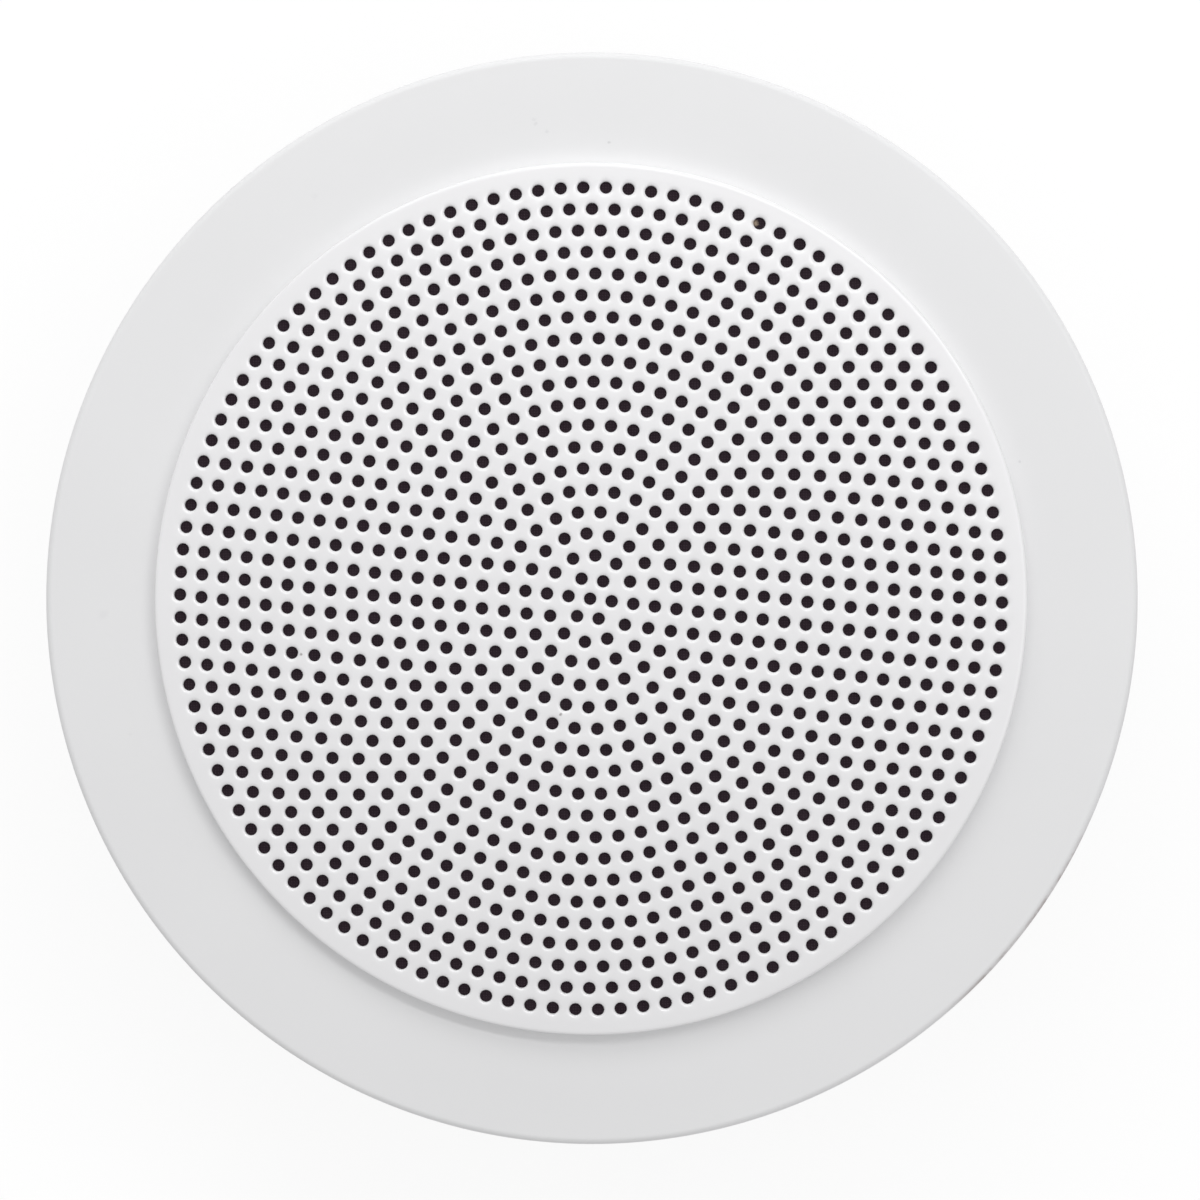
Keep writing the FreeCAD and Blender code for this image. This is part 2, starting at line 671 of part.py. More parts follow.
def make_driver_screws():
    """Pan-head screws with a cross slot, driven from behind through the basket's rim."""
    low = Z_RIM - SCREW_HEAD_HEIGHT
    middle_radius = (SCREW_HEAD_FLAT_RADIUS + SCREW_HEAD_RADIUS) / 2
    side_middle = (middle_radius + SCREW_HEAD_BULGE, Z_RIM - SCREW_HEAD_HEIGHT / 2 - SCREW_HEAD_BULGE)
    screw = turned(
        (0, low),
        (SCREW_HEAD_FLAT_RADIUS, low),
        (side_middle, (SCREW_HEAD_RADIUS, Z_RIM)),
        (SCREW_RADIUS, Z_RIM),
        (SCREW_RADIUS, Z_RIM + SCREW_LENGTH - SCREW_RADIUS),
        (0, Z_RIM + SCREW_LENGTH),
    )
    half = SCREW_SLOT_WIDTH / 2
    reach = SCREW_SLOT_LENGTH / 2
    depth = (low, low + SCREW_SLOT_DEPTH)
    slots = [block((-reach, reach), (-half, half), depth), block((-half, half), (-reach, reach), depth)]
    screw = screw.cut(slots)
    screw.translate(FreeCAD.Vector(SCREW_CIRCLE_RADIUS, 0, 0))
    return Part.makeCompound(spread(screw, SCREW_COUNT, 180 / SCREW_COUNT))


def frame_body():
    """Baffle, grille seat and groove, concave sweep, flange, turned-back rim and spigot in one section."""
    sweep_top = Z_FLANGE + SWEEP_RISE
    sweep_end = GROOVE_OUTER_RADIUS + SWEEP_WIDTH
    across, drop = bow(SWEEP_WIDTH, SWEEP_RISE)
    sweep_middle = (sweep_end - across, Z_FLANGE + drop)
    round_middle = RIM_ROUND * (1 - math.sqrt(0.5))
    seat = dome_height(SEAT_OUTER_RADIUS, GRILLE_SHEET) - SEAT_AIR
    return turned(
        (BAFFLE_OPENING_RADIUS, Z_BAFFLE),
        (BAFFLE_OPENING_RADIUS, Z_FLANGE),
        (SEAT_INNER_RADIUS, Z_FLANGE),
        (SEAT_INNER_RADIUS, seat),
        (SEAT_OUTER_RADIUS, seat),
        (SEAT_OUTER_RADIUS, Z_FLANGE - GROOVE_DEPTH),
        (GROOVE_OUTER_RADIUS, Z_FLANGE - GROOVE_DEPTH),
        (GROOVE_OUTER_RADIUS, sweep_top),
        (sweep_middle, (sweep_end, Z_FLANGE)),
        (FLANGE_RADIUS - RIM_ROUND, Z_FLANGE),
        ((FLANGE_RADIUS - round_middle, Z_FLANGE - round_middle), (FLANGE_RADIUS, Z_FLANGE - RIM_ROUND)),
        (FLANGE_RADIUS, Z_CEILING),
        (RIM_INNER_RADIUS, Z_CEILING),
        (RIM_INNER_RADIUS, Z_FLANGE_BACK),
        (SPIGOT_OUTER_RADIUS, Z_FLANGE_BACK),
        (SPIGOT_OUTER_RADIUS, Z_SPIGOT_END),
        (SPIGOT_INNER_RADIUS, Z_SPIGOT_END),
        (SPIGOT_INNER_RADIUS, Z_BAFFLE),
    )


def make_lug(y_low):
    """One pivot lug at +X: a plate with a rounded end and a bore for the pin."""
    profile = section(
        (PIVOT_X - LUG_RADIUS, PIVOT_Z),
        ((PIVOT_X, PIVOT_Z - LUG_RADIUS), (PIVOT_X + LUG_RADIUS, PIVOT_Z)),
        (PIVOT_X + LUG_RADIUS, Z_FLANGE_BACK),
        (PIVOT_X - LUG_RADIUS, Z_FLANGE_BACK),
    )
    profile.translate(Y_AXIS * y_low)
    plate = profile.extrude(Y_AXIS * LUG_THICKNESS)
    bore_start = FreeCAD.Vector(PIVOT_X, y_low, PIVOT_Z)
    return plate.cut(Part.makeCylinder(PIN_RADIUS + FIT, LUG_THICKNESS, bore_start, Y_AXIS))


def make_mounting_frame():
    boss = rod(BOSS_RADIUS, Z_BAFFLE, Z_FLANGE + BOSS_HEIGHT, x=SCREW_CIRCLE_RADIUS)
    bosses = spread(boss, SCREW_COUNT, 180 / SCREW_COUNT)
    lugs = []
    for y_low in (LUG_GAP / 2, -LUG_GAP / 2 - LUG_THICKNESS):
        lugs += spread(make_lug(y_low), 2, 0)
    pilot = rod(SCREW_RADIUS + FIT, Z_BAFFLE, Z_RIM + SCREW_LENGTH + PILOT_SPARE, x=SCREW_CIRCLE_RADIUS)
    pilots = spread(pilot, SCREW_COUNT, 180 / SCREW_COUNT)
    return joined([frame_body()] + bosses + lugs).cut(pilots)


# Grille and scrim

def hole_cutters():
    """Bores square to the dome, on rings of equal pitch with six more holes in each ring than in the last.

    The dome's centre is at the origin. The bores start at a power of two from it, which keeps their axes
    exactly on the centre and their edges exactly round.
    """
    ways = [Z_AXIS]
    for number in range(HOLE_COUNT_DIVISOR, HOLE_RINGS + 1, HOLE_COUNT_DIVISOR):
        tilt = number * HOLE_PITCH / DOME_RADIUS
        count = FIRST_RING_COUNT * number // HOLE_COUNT_DIVISOR
        for index in range(count):
            turn = math.radians(HOLE_PHASE + index * 360 / count)
            side = math.sin(tilt)
            way = FreeCAD.Vector(side * math.cos(turn), side * math.sin(turn), math.cos(tilt))
            ways.append(way.normalize())
    start = 2 ** math.floor(math.log2(DOME_RADIUS - GRILLE_STEP))
    length = DOME_RADIUS + GRILLE_SHEET - start
    return [Part.makeCylinder(HOLE_RADIUS, length, way * start, way) for way in ways]


def grille_rim():
    """The outermost ring of the dome, its rounded corner and the skirt."""
    join = SKIRT_INNER_RADIUS - GRILLE_CORNER
    between = (join + SKIRT_INNER_RADIUS) / 2
    corner_radius = GRILLE_RADIUS - GRILLE_CORNER
    corner_height = dome_height(corner_radius, GRILLE_CORNER)
    lean = math.asin(corner_radius / (DOME_RADIUS - GRILLE_CORNER))
    bend = (math.pi / 2 + lean) / 2
    corner_start, corner_middle = [
        (corner_radius + GRILLE_CORNER * math.sin(angle), corner_height + GRILLE_CORNER * math.cos(angle))
        for angle in (lean, bend)
    ]
    skirt_end = Z_FLANGE - GROOVE_DEPTH + SKIRT_AIR
    return turned(
        (join, dome_height(join, GRILLE_SHEET)),
        ((between, dome_height(between, GRILLE_SHEET)),
         (SKIRT_INNER_RADIUS, dome_height(SKIRT_INNER_RADIUS, GRILLE_SHEET))),
        (SKIRT_INNER_RADIUS, skirt_end),
        (GRILLE_RADIUS, skirt_end),
        (GRILLE_RADIUS, corner_height),
        (corner_middle, corner_start),
        ((between, dome_height(between, 0)), (join, dome_height(join, 0))),
    )


def make_grille():
    """A domed sheet with a turned-back skirt that stands in the frame's groove."""
    join = SKIRT_INNER_RADIUS - GRILLE_CORNER
    trim = rod(join, 0, 2 * DOME_RADIUS)
    dome = cap(DOME_RADIUS, GRILLE_SHEET, SKIRT_INNER_RADIUS).common(trim).cut(hole_cutters())
    dome.translate(Z_AXIS * Z_DOME_CENTRE)
    return dome.fuse(grille_rim())


def make_scrim():
    """A cloth disc that lies against the back of the grille."""
    cloth = cap(DOME_RADIUS - GRILLE_SHEET - SEAT_AIR, SCRIM_SHEET, SCRIM_RADIUS)
    cloth.translate(Z_AXIS * Z_DOME_CENTRE)
    return cloth


# Spring clips, drawn at +X

def arm_point(along, across):
    """A point of the clip arm, along it from the pivot and across it towards the grille, as (x, z)."""
    angle = math.radians(ARM_ANGLE)
    return (
        PIVOT_X + along * math.cos(angle) - across * math.sin(angle),
        PIVOT_Z + along * math.sin(angle) + across * math.cos(angle),
    )


def plate_y(face, y_low, y_high):
    """A plate of the face's outline, between two Y positions."""
    plate = face.extrude(Y_AXIS * (y_high - y_low))
    plate.translate(Y_AXIS * y_low)
    return plate


def arm_back():
    """The back of the arm's web, which the spring's leg presses on."""
    return SPRING_RADIUS + WIRE_RADIUS + SEAT_AIR


def make_clip_arm():
    """A moulded channel: two cheeks that turn on the pin, and a web whose front carries the pad."""
    back = arm_back()
    front = back + ARM_WEB
    cheek = section(
        arm_point(0, -ARM_HUB_RADIUS),
        arm_point(ARM_LENGTH, front - ARM_TIP_HEIGHT),
        arm_point(ARM_LENGTH, front),
        arm_point(ARM_WEB_START, front),
        arm_point(0, ARM_HUB_RADIUS),
        (arm_point(-ARM_HUB_RADIUS, 0), arm_point(0, -ARM_HUB_RADIUS)),
    )
    web = section(
        arm_point(ARM_WEB_START, back),
        arm_point(ARM_LENGTH, back),
        arm_point(ARM_LENGTH, front),
        arm_point(ARM_WEB_START, front),
    )
    cheek_inside = ARM_HALF_WIDTH - ARM_CHEEK
    plates = [
        plate_y(cheek, cheek_inside, ARM_HALF_WIDTH),
        plate_y(cheek, -ARM_HALF_WIDTH, -cheek_inside),
        plate_y(web, -ARM_HALF_WIDTH, ARM_HALF_WIDTH),
    ]
    bore_start = FreeCAD.Vector(PIVOT_X, -ARM_HALF_WIDTH, PIVOT_Z)
    bore = Part.makeCylinder(PIN_RADIUS + PIN_AIR, 2 * ARM_HALF_WIDTH, bore_start, Y_AXIS)
    return joined(plates).cut(bore)


def make_clip_pad():
    """A rubber wedge between the arm's web and the back of the flange."""
    front = arm_back() + ARM_WEB
    inner_x, inner_z = arm_point(PAD_START, front)
    outer_x, outer_z = arm_point(PAD_END, front)
    top = Z_FLANGE_BACK - PAD_AIR
    wedge = section((inner_x, inner_z), (outer_x, outer_z), (outer_x, top), (inner_x, top))
    return plate_y(wedge, -PAD_WIDTH / 2, PAD_WIDTH / 2)


def coil_point(angle, climb):
    """A point on the spring's middle line, drawn about Z."""
    turn = math.radians(angle)
    return FreeCAD.Vector(SPRING_RADIUS * math.cos(turn), SPRING_RADIUS * math.sin(turn), climb)


def wire_arc(start, end, way, turn):
    """A bent piece of round wire about the line between two ends, or about Z where it stays level."""
    centre = (start + end) / 2 if turn == 180 else FreeCAD.Vector(0, 0, start.z)
    spoke = start - centre
    bend = Part.makeTorus(spoke.Length, WIRE_RADIUS, ORIGIN, Z_AXIS, 0, 360, turn)
    turned_to = FreeCAD.Rotation(spoke.normalize(), way, spoke.cross(way), "XYZ")
    bend.Placement = FreeCAD.Placement(centre, turned_to)
    return bend


def make_clip_spring():
    """A torsion spring on the pin: one leg along the arm's web, the other under the spigot's end.

    Each half turn is an arc in a plane of its own, tilted so that it climbs half a pitch.
    """
    angle = ARM_ANGLE + 90
    climb = 0.0
    arm_start = coil_point(angle, climb)
    arm_way = FreeCAD.Vector(arm_start.y, -arm_start.x, 0).normalize()
    pieces = [Part.makeCylinder(WIRE_RADIUS, SPRING_ARM_LEG, arm_start, arm_way)]
    last_angle = 90 + 360 * SPRING_TURNS
    while angle < last_angle:
        turn = min(180, last_angle - angle)
        rise = SPRING_PITCH / 2 if turn == 180 else 0
        start = coil_point(angle, climb)
        angle += turn
        climb += rise
        way = FreeCAD.Vector(-start.y, start.x, 0).normalize()
        pieces.append(wire_arc(start, coil_point(angle, climb), way, turn))
    frame_start = coil_point(angle, climb)
    pieces.append(Part.makeCylinder(WIRE_RADIUS, SPRING_FRAME_LEG, frame_start, X_AXIS * -1))
    spring = pieces[0].multiFuse(pieces[1:])
    spring.translate(Z_AXIS * (-climb / 2))
    spring.rotate(ORIGIN, X_AXIS, 90)
    spring.translate(FreeCAD.Vector(PIVOT_X, 0, PIVOT_Z))
    return spring


def make_clip_pin():
    """A headed pin, riveted over at its other end."""
    end = LUG_GAP / 2 + LUG_THICKNESS
    pin = turned(
        (0, -end - PIN_RIVETED_HEIGHT),
        (PIN_RADIUS, -end - PIN_RIVETED_HEIGHT),
        (PIN_RIVETED_RADIUS, -end),
        (PIN_RADIUS, -end),
        (PIN_RADIUS, end),
        (PIN_HEAD_RADIUS, end),
        (PIN_HEAD_RADIUS, end + PIN_HEAD_HEIGHT),
        (0, end + PIN_HEAD_HEIGHT),
    )
    pin.rotate(ORIGIN, X_AXIS, -90)
    pin.translate(FreeCAD.Vector(PIVOT_X, 0, PIVOT_Z))
    return pin


# All sub-parts, in assembly order
PARTS = {
    "yoke": make_yoke(),
    "magnet": make_magnet(),
    "top_plate": make_top_plate(),
    "basket": make_basket(),
    "basket_rivets": make_basket_rivets(),
    "terminal_board": make_terminal_board(),
    "terminal_tags": make_terminal_tags(),
    "terminal_rivets": make_terminal_rivets(),
    "tinsel_leads": make_tinsel_leads(),
    "coil_former": make_coil_former(),
    "voice_coil": make_voice_coil(),
    "spider": make_spider(),
    "cone": make_cone(),
    "surround": make_surround(),
    "dust_cap": make_dust_cap(),
    "driver_gasket": make_driver_gasket(),
    "driver_screws": make_driver_screws(),
    "mounting_frame": make_mounting_frame(),
    "grille": make_grille(),
    "scrim": make_scrim(),
}
CLIP_PIECES = {
    "clip_arm": make_clip_arm(),
    "clip_pad": make_clip_pad(),
    "clip_pin": make_clip_pin(),
    "clip_spring": make_clip_spring(),
}
CLIP_SIDES = {"right": 0, "left": 180}
for name, shape in CLIP_PIECES.items():
    for side, angle in CLIP_SIDES.items():
        PARTS[f"{name}_{side}"] = around(shape, angle)

os.makedirs("parts", exist_ok=True)
for name, shape in PARTS.items():
    shape.exportStep(f"parts/{name}.step")
    print(name, len(shape.Solids), "solids", round(shape.Volume, 1), "mm3", shape.isValid())
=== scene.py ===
# %% [markdown]
# # Dressing a ceiling loudspeaker
# The packed model arrives as a fixed frame of plain solids. Each step below either paints one of those
# solids or builds a finer piece that takes its place, always in the same coordinates, so nothing needs
# fitting.

# %% Load the frame
import math

import bmesh
import bpy
from mathutils import Matrix, Vector
from mathutils.geometry import delaunay_2d_cdt


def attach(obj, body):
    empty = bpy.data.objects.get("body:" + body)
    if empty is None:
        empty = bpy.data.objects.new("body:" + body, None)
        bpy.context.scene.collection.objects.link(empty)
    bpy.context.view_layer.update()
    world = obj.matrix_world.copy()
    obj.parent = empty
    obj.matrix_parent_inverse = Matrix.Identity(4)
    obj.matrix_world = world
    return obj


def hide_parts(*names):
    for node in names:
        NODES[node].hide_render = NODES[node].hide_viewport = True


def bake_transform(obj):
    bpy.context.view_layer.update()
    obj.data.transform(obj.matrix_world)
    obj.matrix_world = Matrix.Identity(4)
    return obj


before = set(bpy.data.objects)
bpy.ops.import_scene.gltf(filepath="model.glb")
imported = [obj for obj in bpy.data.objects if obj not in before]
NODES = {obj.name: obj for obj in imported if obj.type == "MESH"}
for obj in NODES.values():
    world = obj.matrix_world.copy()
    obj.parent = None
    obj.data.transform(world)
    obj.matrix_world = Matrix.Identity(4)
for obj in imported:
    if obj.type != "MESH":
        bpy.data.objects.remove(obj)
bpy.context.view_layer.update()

MM = 0.001

# %% [markdown]
# ## Camera
# The photograph was taken from almost straight in front with a long lens, a touch right of the axis and a
# touch above it. The loudspeaker lies on its back here, so the camera looks down at it. A camera could be
# keyed by eye. Placing it from the angle and the distance keeps it easy to correct.

# %% Place the camera
APEX = Vector((0, 0, 73.1))
CAMERA_DISTANCE = 1751.0
CAMERA_RIGHT = math.radians(1.35)
CAMERA_ABOVE = math.radians(0.39)
CAMERA_LENS = 285.75
CAMERA_REACH = 10.0
AIM_OFFSET = Vector((1.83, -0.23, 0))


def place_camera():
    sight = Vector((math.sin(CAMERA_RIGHT), math.sin(CAMERA_ABOVE), math.cos(CAMERA_RIGHT)))
    seat = APEX + sight.normalized() * CAMERA_DISTANCE
    data = bpy.data.cameras.new("front_camera")
    data.lens = CAMERA_LENS
    data.clip_end = CAMERA_REACH
    camera = bpy.data.objects.new("front_camera", data)
    bpy.context.scene.collection.objects.link(camera)
    back = (seat - APEX - AIM_OFFSET).normalized()
    right = Vector((0, 1, 0)).cross(back).normalized()
    axes = Matrix((right, back.cross(right), back)).transposed()
    camera.matrix_world = Matrix.Translation(seat * MM) @ axes.to_4x4()
    bpy.context.scene.camera = camera
    print("camera", [round(place, 1) for place in seat], "mm")


place_camera()

# %% [markdown]
# ## Light
# The white paint is brightest towards the top edge, the step round the grille is softly shaded below and
# most of all at its lower left, and a thin highlight runs along the grille's top edge. A soft lamp above
# the top edge and one further right give the shading. A narrow strip lamp and a low one beyond the top edge
# draw the highlight, and an even sky fills the rest. A single small lamp would draw it too, but with a hard
# shadow.

# %% Hang the lamps
# Each lamp has a place and two sides in metres and a power in watts.
LAMPS = (
    ("top_lamp", Vector((-0.08, 0.94, 0.77)), (1.2, 0.52), 2.8),
    ("right_lamp", Vector((0.79, 0.22, 1.55)), (1.35, 0.6), 2.5),
    ("strip_lamp", Vector((0.16, 0.56, 1.16)), (1.3, 0.12), 3.1),
    ("low_lamp", Vector((-0.1, 1.0, 0.28)), (2.0, 0.14), 1.9),
)
LIT_POINT = Vector((0, 0, 0.066))


def hang_lamp(name, place, sides, power):
    data = bpy.data.lights.new(name, "AREA")
    data.shape = "RECTANGLE"
    data.size, data.size_y = sides
    data.energy = power
    lamp = bpy.data.objects.new(name, data)
    bpy.context.scene.collection.objects.link(lamp)
    lamp.location = place
    lamp.rotation_euler = (LIT_POINT - place).to_track_quat("-Z", "Y").to_euler()


for lamp in LAMPS:
    hang_lamp(*lamp)
print(len(LAMPS), "lamps")

# %% Light the sky
SKY_STRENGTH = 0.573


def wired(tree, kind, sources=None, **settings):
    """Adds a node and gives its outputs. Its inputs, by name or number, take values or other outputs."""
    node = tree.nodes.new(kind)
    for key, value in settings.items():
        setattr(node, key, value)
    for key, source in (sources or {}).items():
        socket = node.inputs[key]
        if isinstance(source, bpy.types.NodeSocket):
            tree.links.new(source, socket)
        else:
            socket.default_value = (*source, 1) if socket.type == "RGBA" else source
    return node.outputs


def seen_or_mirrored(tree):
    """One on rays from the camera, from gloss and through glass, and nought on rays that only carry light."""
    path = wired(tree, "ShaderNodeLightPath")
    pair = {0: path["Is Camera Ray"], 1: path["Is Glossy Ray"]}
    either = wired(tree, "ShaderNodeMath", pair, operation="MAXIMUM")
    pair = {0: either[0], 1: path["Is Transmission Ray"]}
    return wired(tree, "ShaderNodeMath", pair, operation="MAXIMUM")[0]


def light_sky():
    world = bpy.data.worlds.new("studio")
    bpy.context.scene.world = world
    world.use_nodes = True
    tree = world.node_tree
    levels = {"Value": seen_or_mirrored(tree), "To Min": SKY_STRENGTH, "To Max": 1.0}
    level = wired(tree, "ShaderNodeMapRange", levels)["Result"]
    background = tree.nodes["Background"]
    background.inputs["Color"].default_value = (1, 1, 1, 1)
    tree.links.new(level, background.inputs["Strength"])


light_sky()
bpy.context.scene.view_settings.view_transform = "Standard"
print("a sky of", SKY_STRENGTH)

# %% [markdown]
# ## Floor
# The background is plain white paper. A diffuse floor alone would come out light grey, so what the camera
# sees of it is mostly its own white, and a share of diffuse paper keeps the loudspeaker's shadow. From
# below it is clear, so that the back can be looked at.

# %% Lay the floor
FLOOR_HALF = 4.0
FLOOR_GLOW = 0.88
FLOOR_SHARE = 0.14
FLOOR_BOUNCE = 0.8


def mix_floor_paper():
    paper = bpy.data.materials.new("white_paper")
    paper.use_nodes = True
    tree = paper.node_tree
    tree.nodes.remove(tree.nodes["Principled BSDF"])
    bounce = wired(tree, "ShaderNodeBsdfDiffuse", {"Color": [FLOOR_BOUNCE] * 3})
    shadow = wired(tree, "ShaderNodeBsdfDiffuse", {"Color": [FLOOR_SHARE] * 3})
    glow = wired(tree, "ShaderNodeEmission", {"Strength": FLOOR_GLOW})
    seen = wired(tree, "ShaderNodeAddShader", {0: shadow[0], 1: glow[0]})
    above = wired(tree, "ShaderNodeMixShader", {0: seen_or_mirrored(tree), 1: bounce[0], 2: seen[0]})
    clear = wired(tree, "ShaderNodeBsdfTransparent")
    facing = wired(tree, "ShaderNodeNewGeometry")
    whole = wired(tree, "ShaderNodeMixShader", {0: facing["Backfacing"], 1: above[0], 2: clear[0]})
    tree.links.new(whole[0], tree.nodes["Material Output"].inputs["Surface"])
    return paper


def lay_floor():
    mesh = bpy.data.meshes.new("paper_floor")
    corners = [(-1, -1), (1, -1), (1, 1), (-1, 1)]
    mesh.from_pydata([(x * FLOOR_HALF, y * FLOOR_HALF, 0) for x, y in corners], [], [(0, 1, 2, 3)])
    mesh.materials.append(mix_floor_paper())
    floor = bpy.data.objects.new("paper_floor", mesh)
    bpy.context.scene.collection.objects.link(floor)
    print("floor", 2 * FLOOR_HALF, "m square")


lay_floor()

# %% [markdown]
# ## Finishes
# Every finish is a Principled shader whose colour, roughness and bump come from noise in the piece's own
# space. A painted picture could carry the same detail, but noise has no seams and stays sharp at any
# distance. One small class keeps the wiring short: each finish adds only what sets it apart.

# %% A finish and its helpers


class Finish:
    """A Principled material with helpers that add and join nodes. Sizes are in millimetres."""

    def __init__(self, name, metallic=0.0, specular=0.5):
        self.material = bpy.data.materials.new(name)
        self.material.use_nodes = True
        self.shader = self.material.node_tree.nodes["Principled BSDF"]
        self.shader.inputs["Metallic"].default_value = metallic
        self.shader.inputs["Specular IOR Level"].default_value = specular
        self.place = self.add("ShaderNodeTexCoord")["Object"]

    def add(self, kind, sources=None, **settings):
        return wired(self.material.node_tree, kind, sources, **settings)

    def noise(self, size, detail=3.0, stretch=None):
        """Cloudy noise with blots of about this size."""
        place = self.place
        if stretch:
            place = self.add("ShaderNodeMapping", {"Vector": place, "Scale": stretch})["Vector"]
        sources = {"Vector": place, "Scale": 1 / (size * MM), "Detail": detail}
        return self.add("ShaderNodeTexNoise", sources)["Fac"]

    def spread(self, source, low, high, from_low=0.3, from_high=0.7):
        """Stretches a grey value to a new range."""
        ends = {"From Min": from_low, "From Max": from_high, "To Min": low, "To Max": high}
        return self.add("ShaderNodeMapRange", {"Value": source, **ends})["Result"]

    def combine(self, first, second, operation="ADD"):
        """Two grey values added, or joined by another operation."""
        return self.add("ShaderNodeMath", {0: first, 1: second}, operation=operation)[0]

    def blend(self, share, first, second):
        """A colour between two, each a colour or another node's colour."""
        return self.add("ShaderNodeMix", {"Factor": share, 6: first, 7: second}, data_type="RGBA")[2]

    def patches(self, size, detail, dark, light):
        """Soft patches of two colours."""
        return self.blend(self.spread(self.noise(size, detail), 0, 1), dark, light)

    def gloss(self, size, smooth, rough):
        """Roughness that varies from place to place."""
        return self.spread(self.noise(size), smooth, rough)

    def away(self, x=0.0, y=0.0):
        """How far a point is, in metres, from a line along the loudspeaker's axis through a place in mm."""
        flat = self.add("ShaderNodeVectorMath", {0: self.place, 1: (1, 1, 0)}, operation="MULTIPLY")[0]
        line = (x * MM, y * MM, 0)
        return self.add("ShaderNodeVectorMath", {0: flat, 1: line}, operation="DISTANCE")["Value"]

    def height(self):
        """How high a point is, in metres."""
        return self.add("ShaderNodeSeparateXYZ", {0: self.place})["Z"]

    def done(self, colour, roughness, relief, depth):
        """Joins colour, roughness and a relief of this depth to the shader, and gives the material."""
        normal = self.add("ShaderNodeBump", {"Height": relief, "Distance": depth * MM})["Normal"]
        for socket, source in (("Base Color", colour), ("Roughness", roughness), ("Normal", normal)):
            self.material.node_tree.links.new(source, self.shader.inputs[socket])
        return self.material


def shade(colour, factor):
    return tuple(channel * factor for channel in colour)


print("a finish has", len([name for name in vars(Finish) if name[0] != "_"]), "helpers")

# %% Two kinds of grain
GRAINS_IN_PATCH = 14
GRAINS_IN_GLOSS = 5


def grained(name, colour, grain, depth, contrast=0.08, roughness=(0.4, 0.55), metallic=0.0):
    """Soft patches of colour, uneven gloss and a fine grain."""
    finish = Finish(name, metallic)
    dark, light = shade(colour, 1 - contrast), shade(colour, 1 + contrast)
    colours = finish.patches(GRAINS_IN_PATCH * grain, 4.0, dark, light)
    gloss = finish.gloss(GRAINS_IN_GLOSS * grain, *roughness)
    return finish.done(colours, gloss, finish.noise(grain, 2.0), depth)


def fibrous(name, dark, light, grain, detail, gloss, depth, stretch=None, metallic=0.0, specular=0.5):
    """Colour and relief that follow one grain. Gloss is a size and the two roughnesses that it spans."""
    finish = Finish(name, metallic, specular)
    fibres = finish.noise(grain, detail, stretch)
    colours = finish.blend(finish.spread(fibres, 0, 1), dark, light)
    return finish.done(colours, finish.gloss(*gloss), fibres, depth)


print("finishes can be mixed")

# %% [markdown]
# ## White paint and white plastic
# The grille is powder coated and the frame is moulded, so both are white but not alike: powder has a fine
# orange peel, the moulding a flatter skin. Both carry a few specks of dirt. The rounded edge of the rim is
# darker at its lower right, partly from a stain and partly from painted shade. Specks could be separate dots
# of mesh. As small patches of colour at fixed places in the finish they can't come loose.

# %% Mix the powder coat
PAINT_WHITE = (0.843, 0.839, 0.851)
PAINT_PATCH = 22
PAINT_PEEL = 0.55
GRIME = (0.42, 0.33, 0.25)
DARK_GRIT = (0.26, 0.24, 0.23)
SPECK_CORE = 0.3
SPECK_FRAY = 0.25
COAT_ROUGHNESS = 0.17
# The middle of the grille in the photograph, and the length of a millimetre there, in pixels.
GRILLE_IN_PICTURE = (589.2, 598.0, 5.438)
# Each speck has a place in the photograph, a radius in mm, a strength and a colour.
GRILLE_SPECKS = [
    (753.5, 221.5, 0.75, 0.55, GRIME),
    (559.8, 713.6, 0.4, 0.8, DARK_GRIT),
    (299.5, 653.8, 0.36, 0.8, DARK_GRIT),
]


def speckled(finish, clean, specks, picture):
    """Adds small dirty spots with ragged edges to a clean colour."""
    middle_x, middle_y, scale = picture
    for picture_x, picture_y, radius, strength, tint in specks:
        away = finish.away((picture_x - middle_x) / scale, (middle_y - picture_y) / scale)
        fray = SPECK_FRAY * radius * MM
        ragged = finish.combine(away, finish.spread(finish.noise(radius), -fray, fray))
        spot = finish.spread(ragged, strength, 0, SPECK_CORE * radius * MM, radius * MM)
        clean = finish.blend(spot, clean, tint)
    return clean


def mix_powder_coat():
    finish = Finish("powder_coat_white")
    finish.shader.inputs["Coat Weight"].default_value = 1.0
    finish.shader.inputs["Coat Roughness"].default_value = COAT_ROUGHNESS
    clean = finish.patches(PAINT_PATCH, 3.0, shade(PAINT_WHITE, 0.988), shade(PAINT_WHITE, 1.008))
    colour = speckled(finish, clean, GRILLE_SPECKS, GRILLE_IN_PICTURE)
    gloss = finish.gloss(size=6, smooth=0.3, rough=0.36)
    return finish.done(colour, gloss, finish.noise(PAINT_PEEL, detail=2.0), depth=0.006)


POWDER_COAT = mix_powder_coat()
print("mixed", POWDER_COAT.name, "with", len(GRILLE_SPECKS), "specks")

# %% Mix the moulded white
PLASTIC_WHITE = (0.815, 0.815, 0.822)
PLASTIC_PATCH = 35
PLASTIC_GRAIN = 0.35
GREY_DUST = (0.5, 0.5, 0.52)
FLANGE_IN_PICTURE = (591.1, 597.7, 5.412)
FLANGE_SPECKS = [
    (534, 119, 0.5, 0.15, GREY_DUST),
    (535.5, 123, 0.5, 0.22, GREY_DUST),
    (547, 131, 0.45, 0.2, GREY_DUST),
    (609, 142, 0.35, 0.5, GREY_DUST),
    (314.8, 196, 0.8, 0.06, GREY_DUST),
    (102.2, 613.8, 1.2, 0.09, GREY_DUST),
    (129.8, 733.8, 0.5, 0.08, GREY_DUST),
    (1019, 461, 0.35, 0.35, GREY_DUST),
]
# Colour of the rim's lower-right edge: a stain, made darker by painted shade where the edge turns from the
# light.
STAIN_AND_SHADE = (0.4, 0.345, 0.335)
STAIN_SHADE_STRENGTH = 0.95
STAIN_SHADE_MIDDLE = (80.6, -60.7)
STAIN_SHADE_NEAR = 13
STAIN_SHADE_FAR = 24
STAIN_SHADE_START = 100.15
STAIN_SHADE_FULL = 100.8
